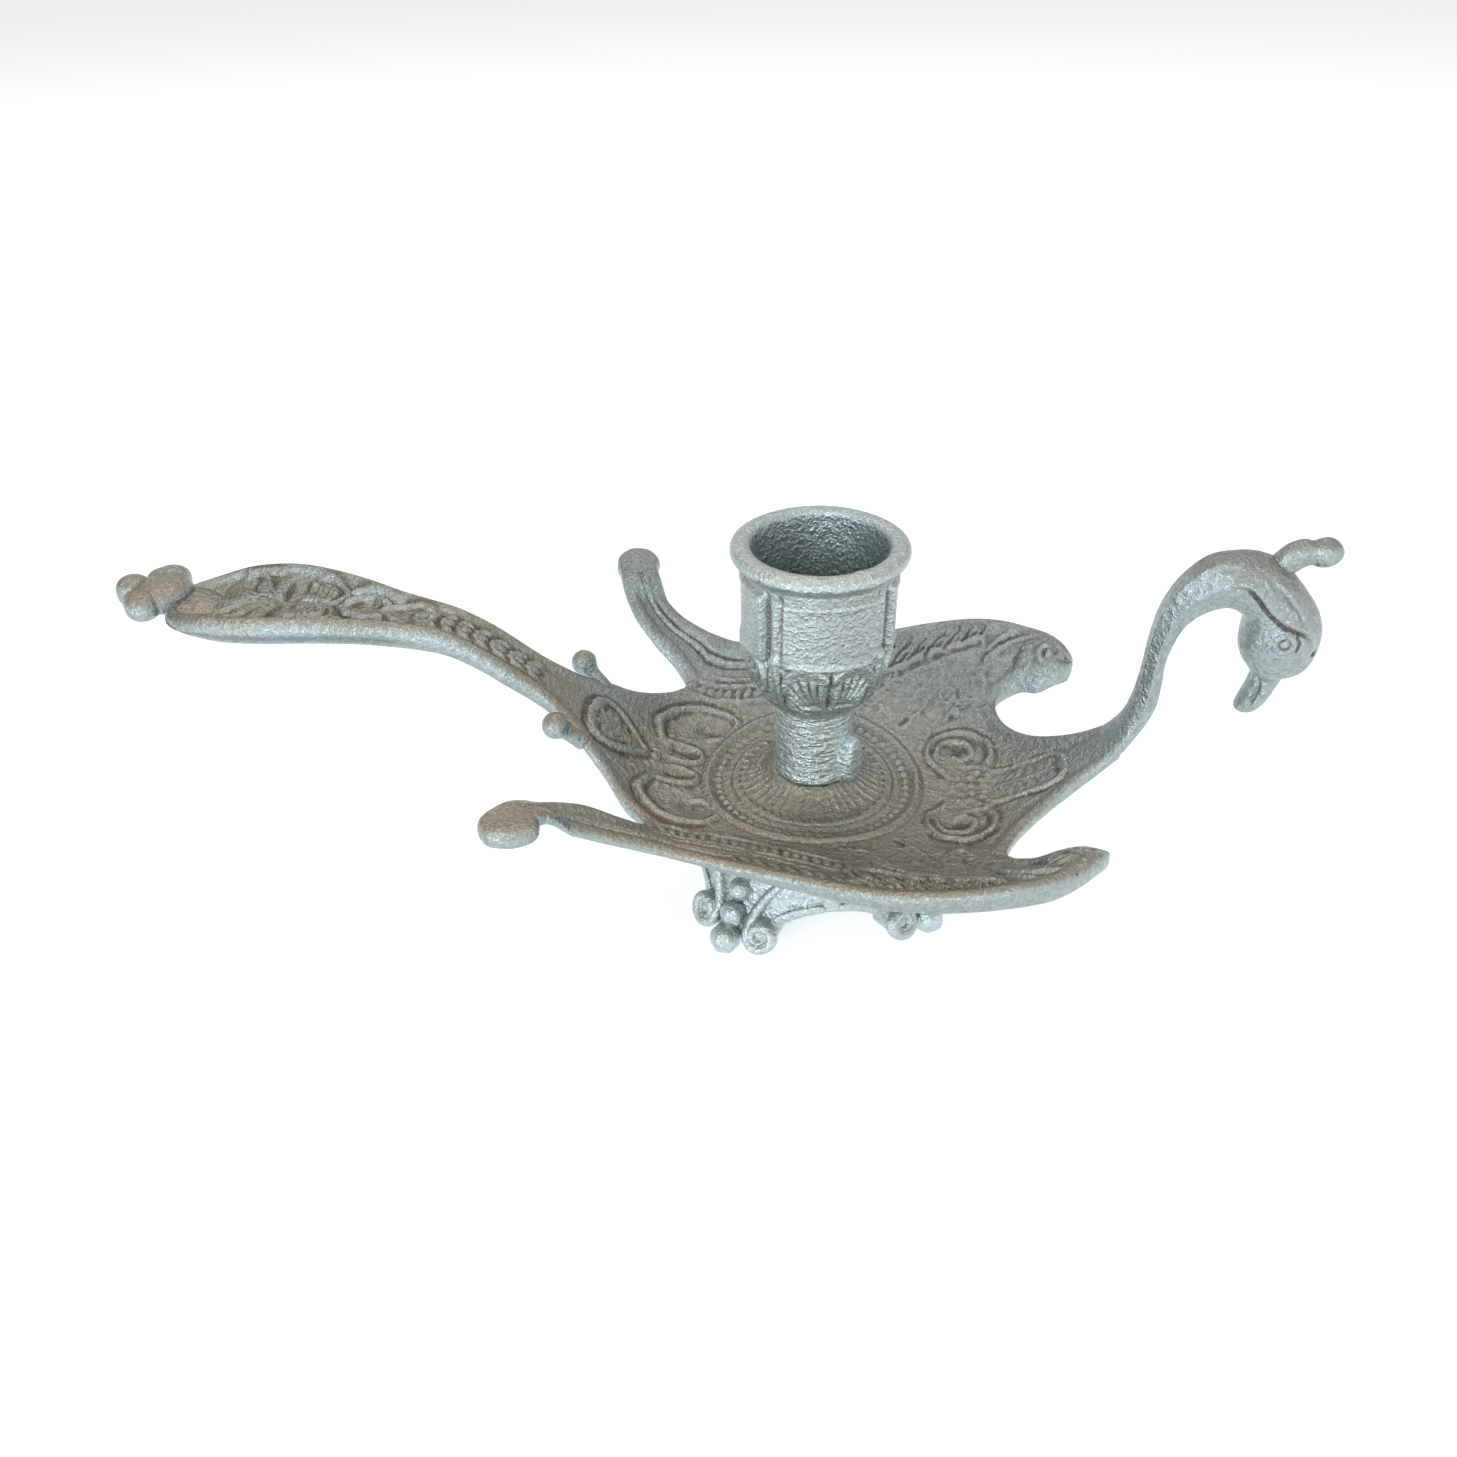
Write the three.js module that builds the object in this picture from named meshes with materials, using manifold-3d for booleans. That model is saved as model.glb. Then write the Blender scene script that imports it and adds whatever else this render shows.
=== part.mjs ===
// Gooseneck candlestick: a cast swan-shaped drip tray on a four-footed scroll stand, with a candle
// socket on a short stem. One screw from below holds the three castings together.
// Millimetres. x runs from the tail handle to the swan's head, y goes across, z points up.
// While the pieces are made, the stem stands at x = y = 0, and z = 0 is standHeight above the table.
// At the end everything is moved so that the feet stand on z = 0 under the middle of the whole.
import * as THREE from 'three';
import { mergeVertices } from 'three/addons/utils/BufferGeometryUtils.js';
import Module from 'manifold-3d';

const wasm = await Module();
wasm.setup();

// Candle socket
const candleBore = 22;
const boreDepth = 20;
const socketTop = 47;
const lipRadius = 14.5;
const lipHeight = 4;
const cupRadius = 12.3;
const panelBottom = 30;
const panelTop = 41;
const panelRelief = 0.7;
const panelCount = 4;
const panelHalfAngle = THREE.MathUtils.degToRad(37);
const leafBottom = 18;
const leafTipRelief = 0.9;
const leafCount = 16;
const stemRadius = 6.9;
const stemWaist = 6.6;
const socketTurn = THREE.MathUtils.degToRad(15);
const lugWidth = 4.4;
const lugHeight = 7.7;
const lugAngle = THREE.MathUtils.degToRad(-48);
const lugProud = 1.1;

// Dish of the tray
const plateThickness = 2.2;
const bowlCurve = 0.006;
const dishLevel = -1;
const domeTopRadius = 7.2;
const domeRadius = 14.7;
const domeHeight = 2.75;
const domeStep = 0.5;
const fluteCount = 24;
const fluteDepth = 0.35;
const ringRadius = 19.2;
const ringWidth = 1.4;
const ringHeight = 0.6;
const beadRingRadius = 17;
const bossRadius = 20.5;
const bossBelow = 3.8;

// Rim that runs along the whole edge of the tray
const rimWidth = 3.2;
const rimLift = 0.6;
const rimDrop = 0.6;
const handleRimExtra = 0.5;
const lobeExtraDrop = 1.6;

// Scroll stand
const standHeight = 23;
const standTopRadius = 19.6;
const standFootRadius = 25.4;
const standWall = 2.2;
const standTopPlate = 2.4;
const standTurn = THREE.MathUtils.degToRad(15);
const footCount = 4;
const archHeight = 9.4;
const archHalfWidth = 12.4;
const footVoluteRadius = 2.7;
const footVoluteSpread = 5.7;
const footVoluteLength = 4.4;
const footVoluteHeight = 5;
const footDropRadius = 2.6;
const footDropHalfHeight = 5;
const footBallRadius = 2.1;
const footBallHeight = 11.4;
const padFlat = 0.6;
const skirtClear = 2.4;
const strapThickness = 1.8;
const strapWidth = 2.4;

// Tie screw and washer
const screwRadius = 2;
const screwClearance = 0.3;
const screwHeadRadius = 4;
const screwHeadHeight = 2.6;
const screwSlotWidth = 1.1;
const screwSlotDepth = 1.2;
const screwReach = 10;
const washerRadius = 5.4;
const washerThickness = 1;

const lightMetal = { color: 0xa9a9a4, roughness: 0.55, metalness: 0.85 };
const screwMetal = { color: 0x8f9296, roughness: 0.4, metalness: 0.95 };

// Smooth value at x through knots [x, value] that are sorted by x; level beyond both ends.
function throughKnots(knots, x) {
  const last = knots.length - 1;
  if (x <= knots[0][0]) return knots[0][1];
  if (x >= knots[last][0]) return knots[last][1];
  let k = 0;
  while (x > knots[k + 1][0]) k += 1;
  const slope = (i) => {
    const before = knots[Math.max(i - 1, 0)];
    const after = knots[Math.min(i + 1, last)];
    return (after[1] - before[1]) / (after[0] - before[0]);
  };
  const span = knots[k + 1][0] - knots[k][0];
  const t = (x - knots[k][0]) / span;
  const rise = knots[k + 1][1] - knots[k][1];
  const startPull = slope(k) * span - rise;
  const endPull = rise - slope(k + 1) * span;
  return knots[k][1] + rise * t + t * (1 - t) * (startPull * (1 - t) + endPull * t);
}

// Rise of the plate along its middle line: dish, swan's back, handle on one side, breast on the other.
const middleRise = [
  [-116, 28.9],
  [-109.4, 29.5],
  [-102.4, 29.1],
  [-94, 29],
  [-84.1, 29.1],
  [-73.6, 28.3],
  [-64.2, 25.8],
  [-55, 22],
  [-48.1, 18.3],
  [-44, 14.3],
  [-40.1, 10.2],
  [-35.8, 6.4],
  [-31.1, 2.3],
  [-26.8, 0.2],
  [-22, -0.7],
  [-18, dishLevel],
  [22, dishLevel],
  [26.5, -0.8],
  [30, -0.2],
  [33.6, 0.9],
  [37.4, 2.8],
  [41.3, 5.3],
  [46.6, 9.2],
  [52, 14],
];

// Rise of the plate along a wing: horn at the back, scrolled lobe at the front.
const wingRise = [
  [-53, 10.2],
  [-49.7, 9.1],
  [-43.6, 7.1],
  [-39, 5.5],
  [-33, 3.2],
  [-27, 0.6],
  [-21, dishLevel],
  [14, dishLevel],
  [22.5, -0.6],
  [29, 0.2],
  [33.6, 1],
  [38, 1.9],
  [42.5, 3.1],
  [47, 4],
];
// Extra rise of a wing's outer edge towards its front lobe.
const frontLift = [
  [8, 0],
  [14.5, 0.4],
  [18.5, 0.8],
  [22.4, 1.3],
  [29.2, 2],
  [35.9, 2.4],
  [42.4, 2.1],
  [47, 1.6],
];
const liftStart = 20.5;
const liftFull = 36;
const wingSkew = 0.45;
const bodyHalf = 17;
const wingRoot = 20.5;

// Round end of a horn: its level top face meets the horn's upper face.
const hornDisc = { x: -40.1, y: 42, top: 19.8, slope: 0.21, radius: 4.6, thickness: 3.7, blend: 9 };

// Height of the plate's upper face: a bowl across, plus the rise of the body or of the wing along, and
// near a horn's end the level of that end.
function plateHeight(x, y) {
  const out = Math.abs(y);
  const wingX = x < 0 ? x - wingSkew * (out - wingRoot) : x;
  const share = THREE.MathUtils.smoothstep(out, bodyHalf, wingRoot);
  const rise = (1 - share) * throughKnots(middleRise, x) + share * throughKnots(wingRise, wingX);
  const lift = throughKnots(frontLift, x) * THREE.MathUtils.smoothstep(out, liftStart, liftFull);
  const height = bowlCurve * out ** 2 + rise + lift;
  const fromEnd = Math.hypot(x - hornDisc.x, out - hornDisc.y);
  const endShare = 1 - THREE.MathUtils.smoothstep(fromEnd, hornDisc.radius, hornDisc.blend);
  const endLevel = hornDisc.top - rimLift + hornDisc.slope * (out - hornDisc.y);
  return THREE.MathUtils.lerp(height, endLevel, endShare);
}

// How much of the handle's higher rim applies at x: none on the body, all on the handle.
function handleShare(x) {
  return THREE.MathUtils.smoothstep(-x, 50, 76);
}

// How much of the extra thickness under the front lobe of a wing applies at a point.
function lobeShare(x, y) {
  const along = THREE.MathUtils.smoothstep(x, 20, 38) * (1 - THREE.MathUtils.smoothstep(x, 42, 46.5));
  return along * THREE.MathUtils.smoothstep(Math.abs(y), 23, 29);
}

// Edge of one half of the tray in plan, from tail to neck. Each line is a smooth curve through points.
const bodyAndHornEdge = [
  [-115.6, 3.6],
  [-113.6, 6.7],
  [-109.6, 10.3],
  [-102.9, 13],
  [-94.5, 13.2],
  [-84.7, 10.8],
  [-74, 8.5],
  [-64.6, 8.5],
  [-55.3, 8.5],
  [-48.4, 8.6],
  [-42.5, 9.9],
  [-38.8, 10.9],
  [-35.4, 12.6],
  [-31.3, 17],
  [-26.8, 20.4],
  [-34, 22.9],
  [-39.9, 28.2],
  [-42.7, 35.6],
  [-43.6, 40.4],
];
const rearNotchKnot = 14;
const wingEdge = [
  [-36.2, 41.6],
  [-34.5, 38.4],
  [-31.9, 35.5],
  [-27.5, 31.8],
  [-22.5, 30.6],
  [-16.2, 31.1],
  [-2, 35],
  [13.6, 39.4],
  [22.5, 40.5],
  [29.4, 40.2],
  [35, 38.8],
  [39.5, 36.8],
  [42.9, 34.6],
  [45.7, 31.6],
  [47.1, 29.1],
  [47.4, 27.6],
];
const hornEndKnot = 4;
const lobeStartKnot = 10;
const lobeAndBreastEdge = [
  [47.4, 27.6],
  [46.6, 26],
  [44.4, 25],
  [41.4, 24.5],
  [37.6, 23.9],
  [33.6, 22.3],
  [34.6, 17.5],
  [37.4, 13.2],
  [41.3, 9.6],
  [46.6, 6.4],
  [51.6, 4.3],
];
const frontNotchKnot = 5;
const rearNotchAxisShift = 4.8;
const frontNotchAxis = 22;
const stepsPerKnot = 2;

function asVectors(points) {
  return points.map(([x, y]) => new THREE.Vector2(x, y));
}

// Points on the curve between two of its knots, with the unit normal that points into the plate.
function edgeStretch(knots, from, to) {
  const curve = new THREE.SplineCurve(asVectors(knots));
  const direction = Math.sign(to - from);
  const stations = [];
  const place = (t) => {
    const point = curve.getPoint(t);
    const tangent = curve.getTangent(t);
    const inward = new THREE.Vector2(tangent.y, -tangent.x);
    stations.push({ point, inward, edge: 1 });
  };
  for (let k = from; k !== to; k += direction) {
    for (let i = 0; i < stepsPerKnot; i += 1) {
      place((k + direction * i / stepsPerKnot) / (knots.length - 1));
    }
  }
  place(to / (knots.length - 1));
  return stations;
}

const rearEdge = edgeStretch(bodyAndHornEdge, 0, rearNotchKnot);
const hornInner = edgeStretch(bodyAndHornEdge, bodyAndHornEdge.length - 1, rearNotchKnot);
const hornOuter = edgeStretch(wingEdge, 0, hornEndKnot);
const wingTop = edgeStretch(wingEdge, hornEndKnot, lobeStartKnot);
const lobeOuter = edgeStretch(wingEdge, lobeStartKnot, wingEdge.length - 1);
const lobeInner = edgeStretch(lobeAndBreastEdge, frontNotchKnot, 0);
const breastEdge = edgeStretch(lobeAndBreastEdge, frontNotchKnot, lobeAndBreastEdge.length - 1);

// Line inside the plate from the rear notch to the front notch, where body and wing meet.
function notchLine(count) {
  const start = rearEdge[rearEdge.length - 1].point;
  const end = breastEdge[0].point;
  const stations = [];
  for (let i = 0; i <= count; i += 1) {
    const point = start.clone().lerp(end, i / count);
    stations.push({ point, inward: null, edge: i === 0 || i === count ? 1 : 0 });
  }
  stations[0].inward = rearEdge[rearEdge.length - 1].inward;
  stations[count].inward = breastEdge[0].inward;
  return stations;
}

const seamLine = notchLine(wingTop.length - 1);

// Rows of points along the rim: distance in from the edge, height above the plate's upper face, and
// how much of the handle's higher rim and of the lobe's thicker underside the row takes.
const rimAbove = [
  [0, -plateThickness / 2, 0.4, 0.5],
  [rimWidth * 0.12, rimLift * 0.25, 1, 0],
  [rimWidth * 0.5, rimLift, 1, 0],
  [rimWidth, 0, 0, 0],
];
const rimBelow = [
  [0, -plateThickness / 2, 0.4, 0.5],
  [rimWidth * 0.3, -plateThickness - rimDrop, 0, 1],
  [rimWidth, -plateThickness, 0, 0.8],
];

// One line of points across the plate from station a to station b.
function acrossPlate(a, b, rows, middleCount) {
  const last = rows[rows.length - 1];
  const middleRow = [0, last[1], last[2], last[3]];
  const along = b.point.clone().sub(a.point);
  const length = along.length();
  along.normalize();
  const isAxis = a.inward === null && a.edge === 0 && a.point.y === 0;
  const room = isAxis ? 0.8 : 0.44;
  const scale = Math.min(1, room * length / rimWidth);
  const inset = (station, toward, distance) => {
    const way = toward.clone();
    if (station.inward !== null) way.add(station.inward).normalize();
    const reach = station.inward === null ? 1 : 1 / Math.max(0.5, way.dot(station.inward));
    return station.point.clone().addScaledVector(way, distance * reach * scale);
  };
  const fromA = isAxis ? [] : rows.map((row) => [inset(a, along, row[0]), row, a.edge]);
  const back = along.clone().negate();
  const fromB = rows.map((row) => [inset(b, back, row[0]), row, b.edge]);
  const start = isAxis ? a.point : fromA[fromA.length - 1][0];
  const end = fromB[fromB.length - 1][0];
  const line = [...fromA];
  for (let i = isAxis ? 0 : 1; i < middleCount; i += 1) {
    line.push([start.clone().lerp(end, i / middleCount), middleRow, 0]);
  }
  line.push(...fromB.reverse());
  return line.map(([p, row, edge]) => {
    const atTip = length === 0 ? rows[0] : row;
    const [, height, handle, lobe] = edge === 1 ? atTip : middleRow;
    const raised = handleRimExtra * handle * handleShare(p.x);
    const dropped = lobeExtraDrop * lobe * lobeShare(p.x, p.y);
    return new THREE.Vector3(p.x, p.y, plateHeight(p.x, p.y) + height + raised - dropped);
  });
}

// Triangles of a closed body, kept as loose corners until the end.
class Skin {
  constructor() {
    this.corners = [];
  }

  triangle(a, b, c) {
    const tiny = 1e-5;
    if (a.distanceTo(b) < tiny || b.distanceTo(c) < tiny || c.distanceTo(a) < tiny) return;
    for (const p of [a, b, c]) this.corners.push(p.x, p.y, p.z);
  }

  quad(a, b, c, d) {
    this.triangle(a, b, c);
    this.triangle(a, c, d);
  }

  // Two rows of points of the same length; the skin faces up where the rows go along +y, then +x.
  strip(rowA, rowB, flip) {
    for (let j = 0; j + 1 < rowA.length; j += 1) {
      if (flip) this.quad(rowA[j], rowA[j + 1], rowB[j + 1], rowB[j]);
      else this.quad(rowA[j], rowB[j], rowB[j + 1], rowA[j + 1]);
    }
  }

  geometry() {
    const loose = new THREE.BufferGeometry();
    loose.setAttribute('position', new THREE.Float32BufferAttribute(this.corners, 3));
    return mergeVertices(loose, 1e-4);
  }
}

function solid(geometry) {
  const bare = geometry.clone();
  bare.deleteAttribute('normal');
  bare.deleteAttribute('uv');
  const merged = mergeVertices(bare, 1e-4);
  return new wasm.Manifold(new wasm.Mesh({
    numProp: 3,
    vertProperties: new Float32Array(merged.attributes.position.array),
    triVerts: new Uint32Array(merged.index.array),
  }));
}

function geometryOf(body) {
  const mesh = body.getMesh();
  const geometry = new THREE.BufferGeometry();
  geometry.setAttribute('position', new THREE.BufferAttribute(new Float32Array(mesh.vertProperties), 3));
  geometry.setIndex(new THREE.BufferAttribute(new Uint32Array(mesh.triVerts), 1));
  geometry.computeVertexNormals();
  return geometry;
}

function joined(bodies) {
  return bodies.reduce((whole, body) => whole.add(body));
}

function mirroredAcross(geometry) {
  const copy = geometry.clone();
  copy.scale(1, -1, 1);
  const index = copy.index.array;
  for (let i = 0; i < index.length; i += 3) {
    [index[i + 1], index[i + 2]] = [index[i + 2], index[i + 1]];
  }
  return copy;
}

function bothSides(geometry) {
  const indexed = geometry.index ? geometry : mergeVertices(geometry);
  return solid(indexed).add(solid(mirroredAcross(indexed)));
}

// Body that runs through oval sections. Each section has a middle, half size up, half size across y.
function loft(sections, sides) {
  const skin = new Skin();
  const middle = (s) => new THREE.Vector3(s.x, s.y ?? 0, s.z);
  const rings = sections.map((s, i) => {
    const before = middle(sections[Math.max(i - 1, 0)]);
    const after = middle(sections[Math.min(i + 1, sections.length - 1)]);
    const along = after.sub(before).normalize();
    const across = s.across ?? new THREE.Vector3(0, 1, 0);
    const up = new THREE.Vector3().crossVectors(along, across).normalize();
    const side = new THREE.Vector3().crossVectors(up, along).normalize();
    const ring = [];
    for (let k = 0; k < sides; k += 1) {
      const angle = (k / sides) * Math.PI * 2;
      ring.push(middle(s)
        .addScaledVector(up, s.high * Math.cos(angle))
        .addScaledVector(side, s.wide * Math.sin(angle)));
    }
    return ring;
  });
  const startPoint = middle(sections[0]);
  const endPoint = middle(sections[sections.length - 1]);
  for (let k = 0; k < sides; k += 1) {
    const next = (k + 1) % sides;
    skin.triangle(startPoint, rings[0][k], rings[0][next]);
    skin.triangle(endPoint, rings[rings.length - 1][next], rings[rings.length - 1][k]);
    for (let i = 0; i + 1 < rings.length; i += 1) {
      skin.quad(rings[i][k], rings[i + 1][k], rings[i + 1][next], rings[i][next]);
    }
  }
  return skin.geometry();
}

// The smooth sections between a few given ones.
function filledIn(sections, steps) {
  const names = ['x', 'z', 'high', 'wide'];
  const out = [];
  const count = sections.length - 1;
  for (let i = 0; i <= count * steps; i += 1) {
    const at = i / steps;
    const section = {};
    for (const name of names) {
      section[name] = throughKnots(sections.map((s, k) => [k, s[name]]), at);
    }
    out.push(section);
  }
  return out;
}

// Half-round ridge lying on the plate along a smooth line in plan.
function ridge(points, halfWidth, height, steps) {
  const curve = new THREE.SplineCurve(asVectors(points));
  const sections = [];
  for (let i = 0; i <= steps; i += 1) {
    const p = curve.getPoint(i / steps);
    const tangent = curve.getTangent(i / steps);
    const taper = Math.min(1, 0.35 + 4 * Math.min(i, steps - i) / steps);
    sections.push({
      x: p.x,
      y: p.y,
      z: plateHeight(p.x, p.y),
      high: height * taper,
      wide: halfWidth * taper,
      across: new THREE.Vector3(-tangent.y, tangent.x, 0),
    });
  }
  return loft(sections, 3);
}

function ellipsoid(x, y, z, halfX, halfY, halfZ, turn = 0, detail = 8) {
  const geometry = new THREE.SphereGeometry(1, detail, Math.round(detail * 0.7));
  geometry.scale(halfX, halfY, halfZ);
  geometry.rotateZ(turn);
  geometry.translate(x, y, z);
  return geometry;
}

// Turned body about the z axis through profile points [radius, z] given from bottom to top.
function turned(profile, segments) {
  const geometry = new THREE.LatheGeometry(asVectors(profile), segments);
  geometry.rotateX(Math.PI / 2);
  return geometry;
}

// Round body from rows [radius, z]; place gives the true radius and height at each angle.
function shapedRound(rows, segments, place) {
  const skin = new Skin();
  const ringOf = ([radius, z]) => {
    const ring = [];
    for (let k = 0; k < segments; k += 1) {
      const angle = (k / segments) * Math.PI * 2;
      const [r, height] = radius === 0 ? [0, z] : place(radius, z, angle);
      ring.push(new THREE.Vector3(r * Math.cos(angle), r * Math.sin(angle), height));
    }
    return ring;
  };
  const rings = rows.map(ringOf);
  for (let i = 0; i + 1 < rings.length; i += 1) {
    for (let k = 0; k < segments; k += 1) {
      const next = (k + 1) % segments;
      skin.quad(rings[i][k], rings[i][next], rings[i + 1][next], rings[i + 1][k]);
    }
  }
  return skin.geometry();
}

function traySheet() {
  const skin = new Skin();
  const axis = (x) => ({ point: new THREE.Vector2(x, 0), inward: null, edge: 0 });
  const rearStart = rearEdge[0].point.x;
  const axisRow = [
    ...rearEdge.map(({ point }) => {
      const near = THREE.MathUtils.smoothstep(point.x, -48, bodyAndHornEdge[rearNotchKnot][0]);
      return axis(point.x + rearNotchAxisShift * near);
    }),
  ];
  const middleStart = axisRow[axisRow.length - 1].point.x;
  for (let i = 1; i < seamLine.length; i += 1) {
    const t = i / (seamLine.length - 1);
    axisRow.push(axis(THREE.MathUtils.lerp(middleStart, frontNotchAxis, t)));
  }
  const breastEnd = breastEdge[breastEdge.length - 1].point.x;
  for (let i = 1; i < breastEdge.length; i += 1) {
    const t = i / (breastEdge.length - 1);
    axisRow.push(axis(THREE.MathUtils.lerp(frontNotchAxis, breastEnd, t)));
  }
  const bodyEdgeRow = [...rearEdge, ...seamLine.slice(1, -1), ...breastEdge];
  const wingInnerRow = [...hornInner, ...seamLine.slice(1, -1), ...lobeInner];
  const wingOuterRow = [...hornOuter, ...wingTop.slice(1, -1), ...lobeOuter];
  const bodyLine = (rows, count) => axisRow.map((a, i) => acrossPlate(a, bodyEdgeRow[i], rows, count));
  const wingLine = (rows, count) => wingInnerRow.map((a, i) => acrossPlate(a, wingOuterRow[i], rows, count));
  const tailEnd = new THREE.Vector3(rearStart - 1.2, 0, plateHeight(rearStart, 0) - plateThickness / 2);
  const neckEnd = new THREE.Vector3(breastEnd + 1, 0, plateHeight(breastEnd, 0));
  const { x: discX, y: discY } = hornDisc;
  const hornEnd = new THREE.Vector3(discX, discY + 1, plateHeight(discX, discY + 1) - plateThickness / 2);
  const patch = (lines, below, start, end) => {
    const first = lines[0].map(() => start);
    const last = end === null ? null : lines[0].map(() => end);
    const all = last === null ? [first, ...lines] : [first, ...lines, last];
    for (let i = 0; i + 1 < all.length; i += 1) skin.strip(all[i], all[i + 1], below);
  };
  patch(bodyLine(rimAbove, 3), false, tailEnd, neckEnd);
  patch(bodyLine(rimBelow, 2), true, tailEnd, neckEnd);
  patch(wingLine(rimAbove, 2), false, hornEnd, null);
  patch(wingLine(rimBelow, 2), true, hornEnd, null);
  const half = skin.corners.slice();
  for (let i = 0; i < half.length; i += 9) {
    for (const k of [0, 6, 3]) {
      skin.corners.push(half[i + k], -half[i + k + 1], half[i + k + 2]);
    }
  }
  return solid(skin.geometry());
}

// Swan's neck, head and bill in the middle plane, from the breast up and over to the tip of the bill.
const neckSections = [
  { x: 47.4, z: 9.2, high: 1.2, wide: 5.2 },
  { x: 51.4, z: 13.4, high: 1.7, wide: 4.2 },
  { x: 53.7, z: 17.2, high: 2.0, wide: 2.9 },
  { x: 54.7, z: 22, high: 2.0, wide: 2.3 },
  { x: 54.7, z: 28, high: 1.9, wide: 2.2 },
  { x: 55, z: 33, high: 2.0, wide: 2.4 },
  { x: 56, z: 37.2, high: 2.5, wide: 2.9 },
  { x: 58, z: 40.9, high: 3.2, wide: 3.4 },
  { x: 61, z: 43.2, high: 4, wide: 4 },
  { x: 65.2, z: 43.4, high: 4.5, wide: 4.4 },
  { x: 69.2, z: 41.4, high: 4.9, wide: 4.9 },
  { x: 71.8, z: 37.6, high: 5.6, wide: 5.3 },
  { x: 72.6, z: 33.2, high: 5.7, wide: 5 },
  { x: 72.4, z: 30.2, high: 4.4, wide: 4 },
  { x: 71.9, z: 28, high: 2.5, wide: 2.9 },
  { x: 71.5, z: 25.4, high: 2.1, wide: 2.6 },
  { x: 70.7, z: 22.6, high: 2, wide: 2.4 },
  { x: 70, z: 21, high: 1.2, wide: 1.6 },
];
const crestSections = [
  { x: 66.6, z: 43.6, high: 1.9, wide: 2 },
  { x: 69, z: 46.4, high: 1.9, wide: 2 },
  { x: 71.2, z: 48.3, high: 1.9, wide: 1.9 },
  { x: 73.6, z: 48.8, high: 1.6, wide: 1.6 },
  { x: 75.6, z: 49, high: 1.5, wide: 1.5 },
];
const crestBallRadius = 2.25;

// Raised lines of the dish and wings, half of them; the other half is the mirror image.
const rearCell = [
  [-16.4, 14.6],
  [-21.5, 16.2],
  [-27, 14.6],
  [-29.4, 10.6],
  [-27.6, 6.6],
  [-23.2, 5],
  [-19, 6],
  [-18.4, 8.2],
  [-21.6, 8.6],
];
const rearStem = [
  [-19.6, 2.6],
  [-26, 3],
  [-31.4, 5.4],
  [-35.4, 4.6],
  [-37.4, 1.6],
];
const frontVolute = [
  [22.4, 13.6],
  [26.2, 13.4],
  [29, 10.4],
  [28.2, 6.4],
  [24.6, 5],
  [22, 7.4],
  [22.8, 10],
];
const breastLeaf = [
  [28.6, 1.6],
  [33, 4.2],
  [38.4, 3.6],
  [44, 1.2],
];
const wingMidrib = [
  [-36.6, 31.4],
  [-28, 26],
  [-16, 23.4],
  [-2, 25],
  [12, 28.6],
  [24, 32.6],
  [33, 35.4],
  [39.6, 33.8],
  [42.6, 30],
  [40.6, 27.4],
];
const lobeRoll = {
  x: 41.3,
  y: 28.9,
  sink: 0.7,
  halfLength: 6.1,
  halfWidth: 4.7,
  halfHeight: 3.7,
  turn: -0.25,
};
const featherCount = 6;
const featherStart = [2, 27.4];
const featherStep = [4.6, 1.25];
const featherReach = [5.2, 7.4];
const featherShrink = 0.06;
const ridgeHalfWidth = 1;
const ridgeHeight = 0.55;

const spurBall = { x: -43.6, y: 11.6, z: 14.8, radius: 2.4 };
const finialTip = { x: -122.6, z: 30.3, radius: 3.1, halfHeight: 3 };
const finialPetal = { x: -118.2, y: 4.7, halfLength: 4.3, halfWidth: 3, halfHeight: 2.8, turn: 0.6 };
const finialCore = { halfLength: 5, halfWidth: 4.4, halfHeight: 2.6 };

function hornDiscs() {
  const { x, y, top, slope, radius, thickness } = hornDisc;
  const half = thickness / 2;
  const profile = [
    [0, -half],
    [radius * 0.8, -half],
    [radius, -half * 0.45],
    [radius, half * 0.35],
    [radius * 0.75, half],
    [0, half * 0.85],
  ];
  const disc = turned(profile, 14);
  const normal = new THREE.Vector3(0, -slope, 1).normalize();
  const turn = new THREE.Quaternion().setFromUnitVectors(new THREE.Vector3(0, 0, 1), normal);
  disc.applyQuaternion(turn);
  disc.translate(x, y, top - half);
  return bothSides(disc);
}

function finial() {
  const level = finialTip.z;
  const { radius, halfHeight } = finialTip;
  const tip = solid(ellipsoid(finialTip.x, 0, level, radius, radius, halfHeight));
  const petal = ellipsoid(
    finialPetal.x,
    finialPetal.y,
    level,
    finialPetal.halfLength,
    finialPetal.halfWidth,
    finialPetal.halfHeight,
    finialPetal.turn,
    10,
  );
  const coreX = finialTip.x + finialTip.radius + finialCore.halfLength * 0.6;
  const core = ellipsoid(
    coreX,
    0,
    level - 0.4,
    finialCore.halfLength,
    finialCore.halfWidth,
    finialCore.halfHeight,
  );
  return [tip, bothSides(petal), solid(core)];
}

function spurs() {
  const { x, y, z, radius } = spurBall;
  const ball = ellipsoid(x, y, z, radius, radius, radius);
  const rootX = x + 5.4;
  const stub = loft([
    { x: rootX, y: y - 1.6, z: plateHeight(rootX, y) - 1, high: 1.2, wide: 1.8 },
    { x, y, z, high: 1.3, wide: 1.5 },
  ], 8);
  return [bothSides(ball), bothSides(stub)];
}

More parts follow.
